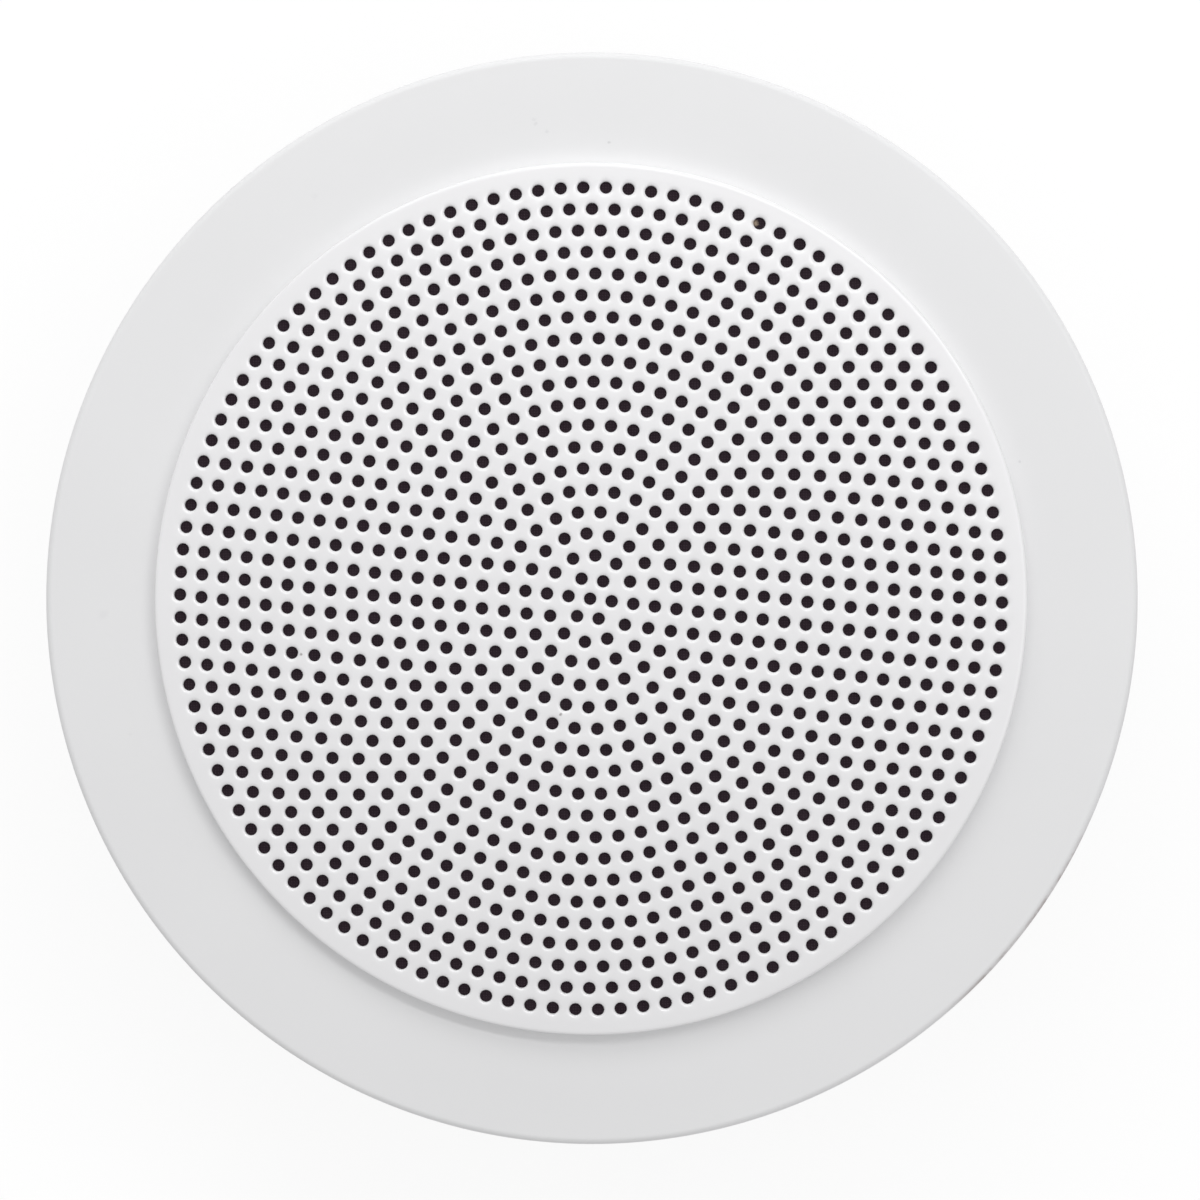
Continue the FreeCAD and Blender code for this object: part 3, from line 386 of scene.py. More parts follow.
STAIN_SHADE_LOWEST = 62.9
STAIN_SHADE_LOW = 63.7
STAIN_SHADE_BLOT = 2.5
STAIN_SHADE_BREAKS = (0.4, 0.58)
STAIN_SHADE_THINNEST = 0.35


def rim_stain_and_shade(finish):
    """How far the rim's rounded edge is darkened at its lower right: a stain plus painted shade."""
    stain_and_shade = finish.spread(finish.away(), 0, STAIN_SHADE_STRENGTH, STAIN_SHADE_START * MM, STAIN_SHADE_FULL * MM)
    limits = (
        finish.spread(finish.away(*STAIN_SHADE_MIDDLE), 1, 0, STAIN_SHADE_NEAR * MM, STAIN_SHADE_FAR * MM),
        finish.spread(finish.height(), 0, 1, STAIN_SHADE_LOWEST * MM, STAIN_SHADE_LOW * MM),
        finish.spread(finish.noise(STAIN_SHADE_BLOT), STAIN_SHADE_THINNEST, 1, *STAIN_SHADE_BREAKS),
    )
    for limit in limits:
        stain_and_shade = finish.combine(stain_and_shade, limit, "MULTIPLY")
    return stain_and_shade


def mix_moulded_white():
    finish = Finish("moulded_white")
    clean = finish.patches(PLASTIC_PATCH, 3.0, shade(PLASTIC_WHITE, 0.988), shade(PLASTIC_WHITE, 1.006))
    dusty = speckled(finish, clean, FLANGE_SPECKS, FLANGE_IN_PICTURE)
    # The rim's lower-right edge takes the darker colour, partly a stain and partly painted shade.
    colour = finish.blend(rim_stain_and_shade(finish), dusty, STAIN_AND_SHADE)
    gloss = finish.gloss(size=8, smooth=0.4, rough=0.48)
    return finish.done(colour, gloss, finish.noise(PLASTIC_GRAIN, detail=2.0), depth=0.004)


MOULDED_WHITE = mix_moulded_white()
print("mixed", MOULDED_WHITE.name, "with", len(FLANGE_SPECKS), "specks")

# %% [markdown]
# ## Tools for turned pieces
# Most of a loudspeaker is round, so most pieces start as an outline of (radius, height) points that is spun
# about the axis. Blender's Screw modifier does this too, but plain points keep full control of how many
# faces each corner gets. Corners are eased, because no real edge is perfectly sharp.

# %% Ease and offset outlines


def eased(outline, steps=4):
    """Rounds the corners of a closed outline of (radius, height, rounding) points."""
    soft = []
    befores = outline[-1:] + outline[:-1]
    afters = outline[1:] + outline[:1]
    for before, corner, after in zip(befores, outline, afters):
        here = Vector(corner[:2])
        rounding = corner[2]
        if rounding == 0:
            soft.append(here)
            continue
        back = (Vector(before[:2]) - here).normalized()
        ahead = (Vector(after[:2]) - here).normalized()
        half = back.angle(ahead) / 2
        reach = rounding / math.tan(half)
        centre = here + (back + ahead).normalized() * rounding / math.sin(half)
        first = here + back * reach - centre
        last = here + ahead * reach - centre
        for step in range(steps + 1):
            soft.append(centre + first.lerp(last, step / steps).normalized() * rounding)
    return soft


def beside(line, distance):
    """A line of points moved sideways by a distance, with mitred corners."""
    ways = [(Vector(b) - Vector(a)).normalized() for a, b in zip(line, line[1:])]
    normals = [Vector((-way.y, way.x)) for way in ways]
    moved = []
    for point, before, after in zip(line, normals[:1] + normals, normals + normals[-1:]):
        moved.append(Vector(point) + (before + after) * distance / (1 + before.dot(after)))
    return moved


def sheet_outline(line, thickness):
    """The outline of a thin sheet whose back follows a line, from the inside out."""
    return [Vector(point) for point in line] + beside(line, thickness)[::-1]


print("an eased square has", len(eased([(1, 1, 0.1), (2, 1, 0.1), (2, 2, 0.1), (1, 2, 0.1)])), "points")

# %% Spin and join skins


def wrap(rings, endless=True):
    """A skin over rings of points. It runs round endlessly, or is closed by a face at each end."""
    count = len(rings[0])
    points = [point for ring in rings for point in ring]
    faces = []
    for number in range(len(rings) if endless else len(rings) - 1):
        here = number * count
        ahead = (number + 1) % len(rings) * count
        for side in range(count):
            after = (side + 1) % count
            faces.append((here + side, ahead + side, ahead + after, here + after))
    if not endless:
        faces += [tuple(range(count)), tuple(range(len(points) - count, len(points)))]
    return points, faces


def lathe(outline, segments):
    """Spins a closed outline of (radius, height) points about the axis."""
    rings = []
    for segment in range(segments):
        turn = 2 * math.pi * segment / segments
        rings.append([(r * math.cos(turn), r * math.sin(turn), z) for r, z in outline])
    points, faces = wrap(rings)
    on_axis = [r == 0 for r, z in outline]
    spun = []
    for face in faces:
        if not all(on_axis[corner % len(outline)] for corner in face):
            spun.append(face)
    return points, spun


def together(*skins):
    """Several skins as one."""
    points = []
    faces = []
    for skin_points, skin_faces in skins:
        first = len(points)
        points += skin_points
        faces += [tuple(first + corner for corner in face) for face in skin_faces]
    return points, faces


def turned_about(skin, degrees):
    """A copy of a skin turned about the loudspeaker's axis."""
    spin = Matrix.Rotation(math.radians(degrees), 3, "Z")
    return [spin @ Vector(point) for point in skin[0]], skin[1]


print("a square ring of 8 turns has", len(lathe([(1, 1), (2, 1), (2, 2), (1, 2)], 8)[1]), "faces")

# %% Make a piece
WELD = 1e-7


def make_piece(name, skin, material, node, body=None, sharp=35):
    """A smooth mesh from a skin in mm. It stands for a node, and rides on a body where one is given."""
    points, faces = skin
    mesh = bpy.data.meshes.new(name)
    mesh.from_pydata([Vector(point) * MM for point in points], [], faces)
    work = bmesh.new()
    work.from_mesh(mesh)
    bmesh.ops.remove_doubles(work, verts=work.verts, dist=WELD)
    bmesh.ops.recalc_face_normals(work, faces=work.faces)
    work.to_mesh(mesh)
    work.free()
    mesh.shade_smooth()
    mesh.set_sharp_from_angle(angle=math.radians(sharp))
    mesh.materials.append(material)
    piece = bpy.data.objects.new(name, mesh)
    bpy.context.scene.collection.objects.link(piece)
    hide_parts(node)
    if body:
        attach(piece, body)
    print(name, len(mesh.vertices), "points", len(mesh.polygons), "faces")
    return piece


print("points nearer than", WELD, "m are welded")

# %% [markdown]
# ## Moulded frame
# One moulding carries everything: a flat flange with a rounded, turned-back rim, a concave sweep that
# climbs to the grille, a groove for the grille's skirt and a spigot that enters the ceiling. The solid
# already has this section. Spinning it again with eased edges gives each edge the thin highlight of a real
# moulding.

# %% Draw the frame's section
FLANGE_FRONT = 64.7
FLANGE_BACK = 62.2
FLANGE_RADIUS = 100.9
RIM_ROUNDING = 1.2
RIM_INSIDE = 98.4
RIM_BACK = 59.7
BAFFLE_HOLE = 66.5
BAFFLE_BACK = 61.7
SPIGOT_INSIDE = 78.5
SPIGOT_OUTSIDE = 81.0
SPIGOT_END = 54.7
FENCE_INSIDE = 77.4
FENCE_OUTSIDE = 79.5
FENCE_TOP = 67.46
GROOVE_BOTTOM = 63.9
SWEEP_START = 80.51
SWEEP_WIDTH = 3.88
SWEEP_RISE = 0.27
SWEEP_POWER = 3
SWEEP_STEPS = 16
EDGE_STEPS = 5
SMALL_EDGE_STEPS = 3


def sweep_points():
    """The concave climb from the flange up to the grille's groove, from its top edge outwards."""
    points = []
    for step in range(1, SWEEP_STEPS + 1):
        share = step / SWEEP_STEPS
        lift = SWEEP_RISE * (1 - share) ** SWEEP_POWER
        points.append((SWEEP_START + SWEEP_WIDTH * share, FLANGE_FRONT + lift, 0))
    return points


FRAME_OUTLINE = [
    (BAFFLE_HOLE, BAFFLE_BACK, 0.3),
    (BAFFLE_HOLE, FLANGE_FRONT, 0.4),
    (FENCE_INSIDE, FLANGE_FRONT, 0.3),
    (FENCE_INSIDE, FENCE_TOP, 0.3),
    (FENCE_OUTSIDE, FENCE_TOP, 0.3),
    (FENCE_OUTSIDE, GROOVE_BOTTOM, 0),
    (SWEEP_START, GROOVE_BOTTOM, 0),
    (SWEEP_START, FLANGE_FRONT + SWEEP_RISE, 0),
    *sweep_points(),
    (FLANGE_RADIUS, FLANGE_FRONT, RIM_ROUNDING),
    (FLANGE_RADIUS, RIM_BACK, 0.3),
    (RIM_INSIDE, RIM_BACK, 0.3),
    (RIM_INSIDE, FLANGE_BACK, 0.5),
    (SPIGOT_OUTSIDE, FLANGE_BACK, 0.6),
    (SPIGOT_OUTSIDE, SPIGOT_END, 0.5),
    (SPIGOT_INSIDE, SPIGOT_END, 0.5),
    (SPIGOT_INSIDE, BAFFLE_BACK, 0.4),
]
FRAME_SECTION = eased(FRAME_OUTLINE, EDGE_STEPS)
print("frame section of", len(FRAME_SECTION), "points")

# %% Cut plates with a bore for the pin
PLATE_EASE = 0.3
PLATE_STEP = 0.6


def divided(outline, longest):
    """A closed outline with extra points on its long edges."""
    points = []
    for here, after in zip(outline, outline[1:] + outline[:1]):
        count = math.ceil((after - here).length / longest)
        points += [here.lerp(after, part / count) for part in range(count)]
    return points


def arc(radius, first, last, steps):
    turns = [math.radians(first + (last - first) * step / steps) for step in range(steps + 1)]
    return [Vector((radius * math.cos(turn), radius * math.sin(turn))) for turn in turns]


def bored_plate(outline, bore, inside, outside, place):
    """A plate with a bore for the pin and eased edges. The place function moves (along, across) to (x, z)."""
    rings = []
    for edge in divided(outline, PLATE_STEP):
        way = edge.normalized()
        section = (
            (way * bore, inside + PLATE_EASE),
            (way * (bore + PLATE_EASE), inside),
            (edge - way * PLATE_EASE, inside),
            (edge, inside + PLATE_EASE),
            (edge, outside - PLATE_EASE),
            (edge - way * PLATE_EASE, outside),
            (way * (bore + PLATE_EASE), outside),
            (way * bore, outside - PLATE_EASE),
        )
        ring = []
        for point, y in section:
            x, z = place(*point)
            ring.append((x, y, z))
        rings.append(ring)
    return wrap(rings)


print("plates have edges eased by", PLATE_EASE, "mm")

# %% Add the lugs and bosses and turn the frame
FRAME_SEGMENTS = 288
PIVOT = Vector((82.4, 0, 51.7))
LUG_RADIUS = 3.5
LUG_STEPS = 24
LUG_INSIDE = 7.0
LUG_OUTSIDE = 10.0
LUG_BORE = 1.52
LUG_ROOT = 0.5
BOSS_RADIUS = 3.0
BOSS_FOOT = 64.0
BOSS_TOP = 66.7
BOSS_EASE = 0.4
BOSS_SEGMENTS = 32
SCREW_CIRCLE = 74.0
SCREW_TURNS = (45, 135, 225, 315)
CLIP_SIDES = (("right", 0), ("left", 180))


def both_faces(inside, outside):
    """The two places of a plate that stands on both sides of a clip's middle."""
    return (inside, outside), (-outside, -inside)


def lug_point(along, across):
    return PIVOT.x + along, PIVOT.z + across


def lug_skins():
    top = FLANGE_BACK - PIVOT.z + LUG_ROOT
    outline = arc(LUG_RADIUS, 180, 360, LUG_STEPS) + [Vector((LUG_RADIUS, top)), Vector((-LUG_RADIUS, top))]
    faces = both_faces(LUG_INSIDE, LUG_OUTSIDE)
    return [bored_plate(outline, LUG_BORE, inside, outside, lug_point) for inside, outside in faces]


def boss_skin():
    foot = [(0, BOSS_FOOT, 0), (BOSS_RADIUS, BOSS_FOOT, 0)]
    outline = foot + [(BOSS_RADIUS, BOSS_TOP, BOSS_EASE), (0, BOSS_TOP, 0)]
    points, faces = lathe(eased(outline), BOSS_SEGMENTS)
    return [Vector(point) + Vector((SCREW_CIRCLE, 0, 0)) for point in points], faces


def turn_frame():
    skins = [lathe(FRAME_SECTION, FRAME_SEGMENTS)]
    for _, degrees in CLIP_SIDES:
        skins += [turned_about(lug, degrees) for lug in lug_skins()]
    skins += [turned_about(boss_skin(), degrees) for degrees in SCREW_TURNS]
    skin = together(*skins)
    make_piece("moulded_frame", skin, MOULDED_WHITE, "mounting_frame", "chassis", sharp=40)


turn_frame()

# %% [markdown]
# ## Punched grille
# The grille is a sheet of steel, punched with rings of small holes, pressed to a shallow dome and folded
# back at its edge. The punch drags the sheet in with it, so each hole has a rolled lip that catches the
# light on one side. A bump map could fake that from far away. Real lips and bores look right from any side,
# so the sheet between the holes is filled by a triangulation that is held to the lips.

# %% Lay out the holes
HOLE_PITCH = 4.0
HOLE_RINGS = 19
FIRST_RING = 6
HOLE_PHASE = math.radians(-6.865)


def hole_places():
    """Flat places of all holes: arc lengths from the middle of the dome, in mm."""
    places = [(0.0, 0.0)]
    for ring in range(1, HOLE_RINGS + 1):
        count = FIRST_RING * ring
        for index in range(count):
            turn = HOLE_PHASE + 2 * math.pi * index / count
            places.append((ring * HOLE_PITCH * math.cos(turn), ring * HOLE_PITCH * math.sin(turn)))
    return places


HOLE_PLACES = hole_places()
print(len(HOLE_PLACES), "holes")

# %% Fill the sheet between the holes
DOME_RADIUS = 663.0
DOME_CENTRE = APEX.z - DOME_RADIUS


def on_dome(flat_x, flat_y, depth):
    """The point of the dome over a flat place, this deep below its front."""
    length = math.hypot(flat_x, flat_y)
    if length == 0:
        return (0, 0, DOME_CENTRE + DOME_RADIUS - depth)
    tilt = length / DOME_RADIUS
    reach = (DOME_RADIUS - depth) * math.sin(tilt) / length
    return (flat_x * reach, flat_y * reach, DOME_CENTRE + (DOME_RADIUS - depth) * math.cos(tilt))


def circle(centre, radius, sides):
    turns = [2 * math.pi * side / sides for side in range(sides)]
    return [(centre[0] + radius * math.cos(turn), centre[1] + radius * math.sin(turn)) for turn in turns]


def sheet_between(circles, dots=()):
    """Triangles that fill the first circle except for the others, which are holes. Dots are loose points."""
    flat = []
    edges = []
    owner = []
    for number, ring in enumerate(circles):
        first = len(flat)
        flat += [Vector(place) for place in ring]
        edges += [(first + side, first + (side + 1) % len(ring)) for side in range(len(ring))]
        owner += [number] * len(ring)
    flat += [Vector(place) for place in dots]
    owner += range(len(circles), len(circles) + len(dots))
    found = delaunay_2d_cdt(flat, edges, [], 0, WELD)
    assert len(found[0]) == len(flat)
    triangles = []
    for face in found[2]:
        owners = {owner[corner] for corner in face}
        if len(owners) > 1 or owners == {0}:
            triangles.append(tuple(face))
    return triangles


print("dome centre at", round(DOME_CENTRE, 1), "mm")

# %% Roll the lips and fold the skirt
SHEET = 0.8
HOLE_RADIUS = 1.145
LIP_WIDTH = 0.68
LIP_DEPTH = 0.36
LIP_BANDS = 2
GRILLE_RADIUS = 80.5
SHOULDER_RADIUS = 6.0
SHOULDER_TILT = math.radians(12.5)
BEND_RADIUS = 0.55
BEND_STEPS = 4
SKIRT_END = 64.1


def lip_levels():
    """(radius, depth) of each ring of a hole, from its rolled lip down to the back of the sheet."""
    levels = []
    for band in range(LIP_BANDS + 1):
        turn = math.pi / 2 * band / LIP_BANDS
        radius = HOLE_RADIUS + LIP_WIDTH * (1 - math.sin(turn))
        levels.append((radius, LIP_DEPTH * (1 - math.cos(turn))))
    levels.append((HOLE_RADIUS, SHEET))
    return levels


def skirt_outline():
    """(radius, height) points from the dome's land over the bend, down the skirt and back up inside."""
    lean = math.asin(GRILLE_RADIUS / DOME_RADIUS)
    arcs = ((SHOULDER_RADIUS, lean, SHOULDER_TILT), (BEND_RADIUS, SHOULDER_TILT, math.pi / 2))
    across = GRILLE_RADIUS - sum(radius * (math.sin(end) - math.sin(start)) for radius, start, end in arcs)
    height = DOME_CENTRE + math.sqrt(DOME_RADIUS ** 2 - across ** 2)
    outline = [(across, height)]
    for radius, start, end in arcs:
        for step in range(1, BEND_STEPS + 1):
            turn = start + (end - start) * step / BEND_STEPS
            out = radius * (math.sin(turn) - math.sin(start))
            outline.append((across + out, height - radius * (math.cos(start) - math.cos(turn))))
        across, height = outline[-1]
    inside = GRILLE_RADIUS - SHEET
    back = DOME_CENTRE + math.sqrt((DOME_RADIUS - SHEET) ** 2 - inside ** 2)
    return outline + [(GRILLE_RADIUS, SKIRT_END), (inside, SKIRT_END), (inside, back)]


print(len(lip_levels()), "rings in a hole,", len(skirt_outline()), "in the skirt")

# %% Punch and press the grille
HOLE_SIDES = 16
LAND_EDGE = 78.4
GRILLE_SEGMENTS = 216


def band_between(first, second, count):
    """Quads between two rings of points."""
    turns = [(side, (side + 1) % count) for side in range(count)]
    return [(first + here, second + here, second + after, first + after) for here, after in turns]


def grille_skin():
    edge = circle((0, 0), LAND_EDGE, GRILLE_SEGMENTS)
    levels = lip_levels()
    points = []
    faces = []
    lips = []
    for radius, depth in levels:
        lips.append(len(points))
        for place in HOLE_PLACES:
            points += [on_dome(x, y, depth) for x, y in circle(place, radius, HOLE_SIDES)]
    for upper, lower in zip(lips, lips[1:]):
        for hole in range(0, len(HOLE_PLACES) * HOLE_SIDES, HOLE_SIDES):
            faces += band_between(upper + hole, lower + hole, HOLE_SIDES)
    lands = []
    for first, (radius, depth) in ((lips[0], levels[0]), (lips[-1], levels[-1])):
        lands.append(len(points))
        points += [on_dome(x, y, depth) for x, y in edge]
        rings = [circle(place, radius, HOLE_SIDES) for place in HOLE_PLACES]
        for triangle in sheet_between([edge] + rings):
            faces.append([(lands[-1] if c < len(edge) else first - len(edge)) + c for c in triangle])
    previous = lands[0]
    for radius, height in skirt_outline():
        here = len(points)
        points += [(x, y, height) for x, y in circle((0, 0), radius, GRILLE_SEGMENTS)]
        faces += band_between(previous, here, GRILLE_SEGMENTS)
        previous = here
    faces += band_between(previous, lands[1], GRILLE_SEGMENTS)
    return points, faces


def punch_grille():
    skin = grille_skin()
    grille = make_piece("punched_grille", skin, POWDER_COAT, "grille", "chassis", sharp=50)
    even = grille.modifiers.new("even_normals", "WEIGHTED_NORMAL")
    even.keep_sharp = True


punch_grille()

# %% [markdown]
# ## Weaves
# Cloth, braid and wound wire all repeat at a fixed pitch, so they share one pattern: straight ridges across
# an axis. Blender's Wave Texture makes it. Its scale has to be worked out from the pitch, because one wave
# is about a third of its unit long.

# %% Patterns with a pitch in millimetres
WAVE_FACTOR = 2 * math.pi / 20
THREADS_IN_PATCH = 9
THREADS_IN_GLOSS = 3
UNEVEN_DYE = 0.15


def ridges(finish, pitch, axis):
    """Smooth ridges across an axis."""
    sources = {"Vector": finish.place, "Scale": WAVE_FACTOR / (pitch * MM)}
    return finish.add("ShaderNodeTexWave", sources, bands_direction=axis)["Fac"]


def woven(name, dark, light, pitch, depth, roughness, specks=()):
    """Plain cloth: threads both ways, with uneven dye and perhaps a few specks."""
    finish = Finish(name, specular=0.25)
    threads = finish.combine(ridges(finish, pitch, "X"), ridges(finish, pitch, "Y"), "MULTIPLY")
    dye = finish.spread(finish.noise(THREADS_IN_PATCH * pitch), -UNEVEN_DYE, UNEVEN_DYE)
    uneven = finish.combine(threads, dye)
    colour = speckled(finish, finish.blend(uneven, dark, light), specks, GRILLE_IN_PICTURE)
    return finish.done(colour, finish.gloss(THREADS_IN_GLOSS * pitch, *roughness), threads, depth)


SCRIM_DARK = (0.0155, 0.008, 0.0128)
SCRIM_LIGHT = (0.039, 0.024, 0.0335)
SCRIM_SPECKS = [(754.2, 221.5, 0.7, 0.8, GRIME)]
BLACK_CLOTH = woven(
    "black_scrim_cloth",
    SCRIM_DARK,
    SCRIM_LIGHT,
    pitch=0.5,
    depth=0.12,
    roughness=(0.8, 0.95),
    specks=SCRIM_SPECKS,
)
RESIN_DARK = (0.2, 0.1, 0.035)
RESIN_LIGHT = (0.42, 0.25, 0.1)
RESIN_CLOTH = woven("resin_cloth", RESIN_DARK, RESIN_LIGHT, pitch=0.6, depth=0.1, roughness=(0.55, 0.7))
print("cloths:", BLACK_CLOTH.name, RESIN_CLOTH.name)

# %% [markdown]
# ## Scrim
# A disc of thin black cloth is glued behind the grille to keep dust out and to hide the driver. That is why
# every hole is equally dark. It could be simulated, but a stretched cloth only repeats the shape that it is
# glued to, so the disc follows the same dome just behind the sheet.

# %% Stretch the scrim
SCRIM_RADIUS = 77.1
GLUE = 0.05
SCRIM_FRONT = SHEET + GLUE
SCRIM_THICKNESS = 0.5
SCRIM_RINGS = 20
FINE_SEGMENTS = 144


def stretch_scrim():
    front = []
    back = []
    for ring in range(SCRIM_RINGS + 1):
        reach = SCRIM_RADIUS * ring / SCRIM_RINGS
        for line, depth in ((front, SCRIM_FRONT), (back, SCRIM_FRONT + SCRIM_THICKNESS)):
            x, y, z = on_dome(reach, 0, depth)
            line.append((x, z))
    skin = lathe(back + front[::-1], FINE_SEGMENTS)
    scrim = make_piece("black_scrim", skin, BLACK_CLOTH, "scrim", "chassis")


stretch_scrim()

# %% [markdown]
# ## Cone and surround
# Behind the cloth a pulp-paper cone moves along the axis. Pressed rings stiffen it, and a half roll of
# rubber lets it travel. The roll is glued to the cone on one side and to the basket on the other, so it
# rides on neither.

# %% Mix paper and rubber
PAPER = fibrous(
    "charcoal_paper",
    dark=(0.018, 0.018, 0.02),
    light=(0.045, 0.044, 0.045),
    grain=1.2,
    detail=6.0,
    gloss=(4, 0.7, 0.85),
    depth=0.05,
    specular=0.3,
)
RUBBER = grained("surround_rubber", (0.022, 0.022, 0.024), grain=0.5, depth=0.01, roughness=(0.42, 0.55))
print("mixed", PAPER.name, RUBBER.name)

# %% Press the cone
CONE_NECK = (12.67, 34.5)
CONE_EDGE = (55.5, 55.6)
CONE_SHEET = 0.6
CONE_RIBS = (23, 29, 35, 41, 47)
RIB_HEIGHT = 0.35
RIB_HALF = 0.9
CONE_STEPS = 72
CONE_SEGMENTS = 120


def cone_back(radius):
    share = (radius - CONE_NECK[0]) / (CONE_EDGE[0] - CONE_NECK[0])
    return CONE_NECK[1] + share * (CONE_EDGE[1] - CONE_NECK[1])


CONE_SLOPE = (CONE_EDGE[1] - CONE_NECK[1]) / (CONE_EDGE[0] - CONE_NECK[0])
CONE_RISE = CONE_SHEET * math.hypot(1, CONE_SLOPE)


def press_cone():
    line = []
    for step in range(CONE_STEPS + 1):
        radius = CONE_NECK[0] + (CONE_EDGE[0] - CONE_NECK[0]) * step / CONE_STEPS
        lift = sum(RIB_HEIGHT * math.exp(-((radius - rib) / RIB_HALF) ** 2) for rib in CONE_RIBS)
        line.append((radius, cone_back(radius) + lift))
    front = [(radius, height + CONE_RISE) for radius, height in line]
    skin = lathe(line + front[::-1], CONE_SEGMENTS)
    make_piece("paper_cone", skin, PAPER, "cone", "cone_assembly")


press_cone()

# %% Roll the surround
RIM_FRONT = 58.8
ROLL_OUTER = 65.5
ROLL_RISE = 3.4
ROLL_STEPS = 28
SURROUND_SHEET = 0.4
LAP_START = 53.0
LIP_END = 70.5


def follow_cone(piece):
    """Bakes a piece's placement into its mesh, so that it rides on no body."""
    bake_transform(piece)


def roll_surround():
    foot = cone_back(CONE_EDGE[0]) + CONE_RISE + GLUE
    line = [(LAP_START, cone_back(LAP_START) + CONE_RISE + GLUE)]
    middle = (CONE_EDGE[0] + ROLL_OUTER) / 2
    half = (ROLL_OUTER - CONE_EDGE[0]) / 2
    for step in range(ROLL_STEPS + 1):
        turn = math.pi * step / ROLL_STEPS
        level = foot + (RIM_FRONT - foot) * step / ROLL_STEPS
        line.append((middle - half * math.cos(turn), level + ROLL_RISE * math.sin(turn)))
    line.append((LIP_END, RIM_FRONT))
    skin = lathe(sheet_outline(line, SURROUND_SHEET), FINE_SEGMENTS)
    surround = make_piece("rolled_surround", skin, RUBBER, "surround")
    follow_cone(surround)


roll_surround()

# %% [markdown]
# ## Spider
# The spider is a disc of resin-stiffened cloth, pressed into waves, that keeps the voice coil in the middle
# of its slot. Its outside is glued to the basket and its neck to the coil's paper tube. The waves are one
# smooth curve here.

# %% Press the spider
SHELF_FRONT = 28.8
SPIDER_NECK = 31.8
COLLAR_HEIGHT = 2.0
SPIDER_ROLL = 34.0
SPIDER_RADIUS = 38.5
SPIDER_WAVES = 4
WAVE_HEIGHT = 0.7
SPIDER_STEPS = 80
SPIDER_SHEET = 0.4


def spider_lift(share):
    """How far a wave stands off the straight line from neck to lip."""
    wave = -math.cos(2 * math.pi * SPIDER_WAVES * share)
    fade = min(1, 2 * SPIDER_WAVES * share, 2 * SPIDER_WAVES * (1 - share))
    return WAVE_HEIGHT * fade * (wave if wave > 0 else wave * (1 - share))


def press_spider():
    neck = CONE_NECK[0]
    foot = neck + COLLAR_HEIGHT
    line = [(neck, SPIDER_NECK + COLLAR_HEIGHT), (neck, SPIDER_NECK)]
    for step in range(SPIDER_STEPS + 1):
        share = step / SPIDER_STEPS
        level = SPIDER_NECK + (SHELF_FRONT - SPIDER_NECK) * share
        line.append((foot + (SPIDER_ROLL - foot) * share, level + spider_lift(share)))
    line.append((SPIDER_RADIUS, SHELF_FRONT))
    skin = lathe(sheet_outline(line, SPIDER_SHEET), CONE_SEGMENTS)
    spider = make_piece("waved_spider", skin, RESIN_CLOTH, "spider")
    follow_cone(spider)


press_spider()

# %% [markdown]
# ## Tinsel leads
# Two braided leads carry the signal from the terminals to the cone. They are slack, so that the cone can
# move. A curve with a round bevel would draw them. A mesh tube along the same smooth curve is used instead.

# %% Draw a tube along a line
CURVE_STEPS = 10
WIRE_SIDES = 12


def smooth_line(route):
    """Points along a smooth curve that a route of a few points pulls into shape."""
    data = bpy.data.curves.new("route", "CURVE")
    data.dimensions = "3D"
    data.resolution_u = CURVE_STEPS
    spline = data.splines.new("NURBS")
    spline.points.add(len(route) - 1)
    for point, place in zip(spline.points, route):
        point.co = (*place, 1)
    spline.order_u = 3
    spline.use_endpoint_u = True
    curve = bpy.data.objects.new("route", data)
    mesh = bpy.data.meshes.new_from_object(curve)
    line = [vertex.co.copy() for vertex in mesh.vertices]
    bpy.data.objects.remove(curve)
    bpy.data.meshes.remove(mesh)
    bpy.data.curves.remove(data)
    return line


def tube(line, radius):
    """A round wire along a line of points."""
    ways = [(after - before).normalized() for before, after in zip(line, line[1:])]
    ways = ways[:1] + [(a + b).normalized() for a, b in zip(ways, ways[1:])] + ways[-1:]
    across = ways[0].orthogonal().normalized()
    rings = []
    for point, way in zip(line, ways):
        across = (across - way * across.dot(way)).normalized()
        other = way.cross(across)
        rings.append([point + (across * c + other * s) * radius for c, s in circle((0, 0), 1, WIRE_SIDES)])
    return wrap(rings, endless=False)


print("wires have", WIRE_SIDES, "sides")

# %% Hang the leads
LEAD_RADIUS = 0.5
LEAD_SIDE = 5.5
LEAD_ROUTE = [(-46.4, 31.05), (-46.4, 34.05), (-35.4, 34.65), (-24.39, 37.02), (-24.39, 40.02)]
BRAID_PITCH = 0.7
BRAID_SLANT = (0.6, 0.5, 0.8)
# The darker braid colour is painted shade in the grooves between strands.
BRAID_SHADE_IN_GROOVES = (0.3, 0.12, 0.06)
BRAID_LIGHT = (0.8, 0.42, 0.26)
STRAND_DEPTH = 0.08


def wound(finish, strands, dark, light, roughness):
    """Copper with painted shade between its strands, where it is also rougher and deeper."""
    colour = finish.blend(strands, dark, light)
    return finish.done(colour, finish.spread(strands, *roughness, 0, 1), strands, STRAND_DEPTH)


def mix_braid():
    finish = Finish("copper_braid", metallic=1.0)
    slant = {"Vector": finish.place, "Rotation": BRAID_SLANT}
    finish.place = finish.add("ShaderNodeMapping", slant)["Vector"]
    strands = finish.combine(ridges(finish, BRAID_PITCH, "X"), ridges(finish, BRAID_PITCH, "Y"), "MAXIMUM")
    return wound(finish, strands, BRAID_SHADE_IN_GROOVES, BRAID_LIGHT, roughness=(0.55, 0.35))


def hang_leads():
    routes = [[(x, y, z) for y, z in LEAD_ROUTE] for x in (-LEAD_SIDE, LEAD_SIDE)]
    skin = together(*[tube(smooth_line(route), LEAD_RADIUS) for route in routes])
    leads = make_piece("braided_leads", skin, mix_braid(), "tinsel_leads")
    follow_cone(leads)


hang_leads()

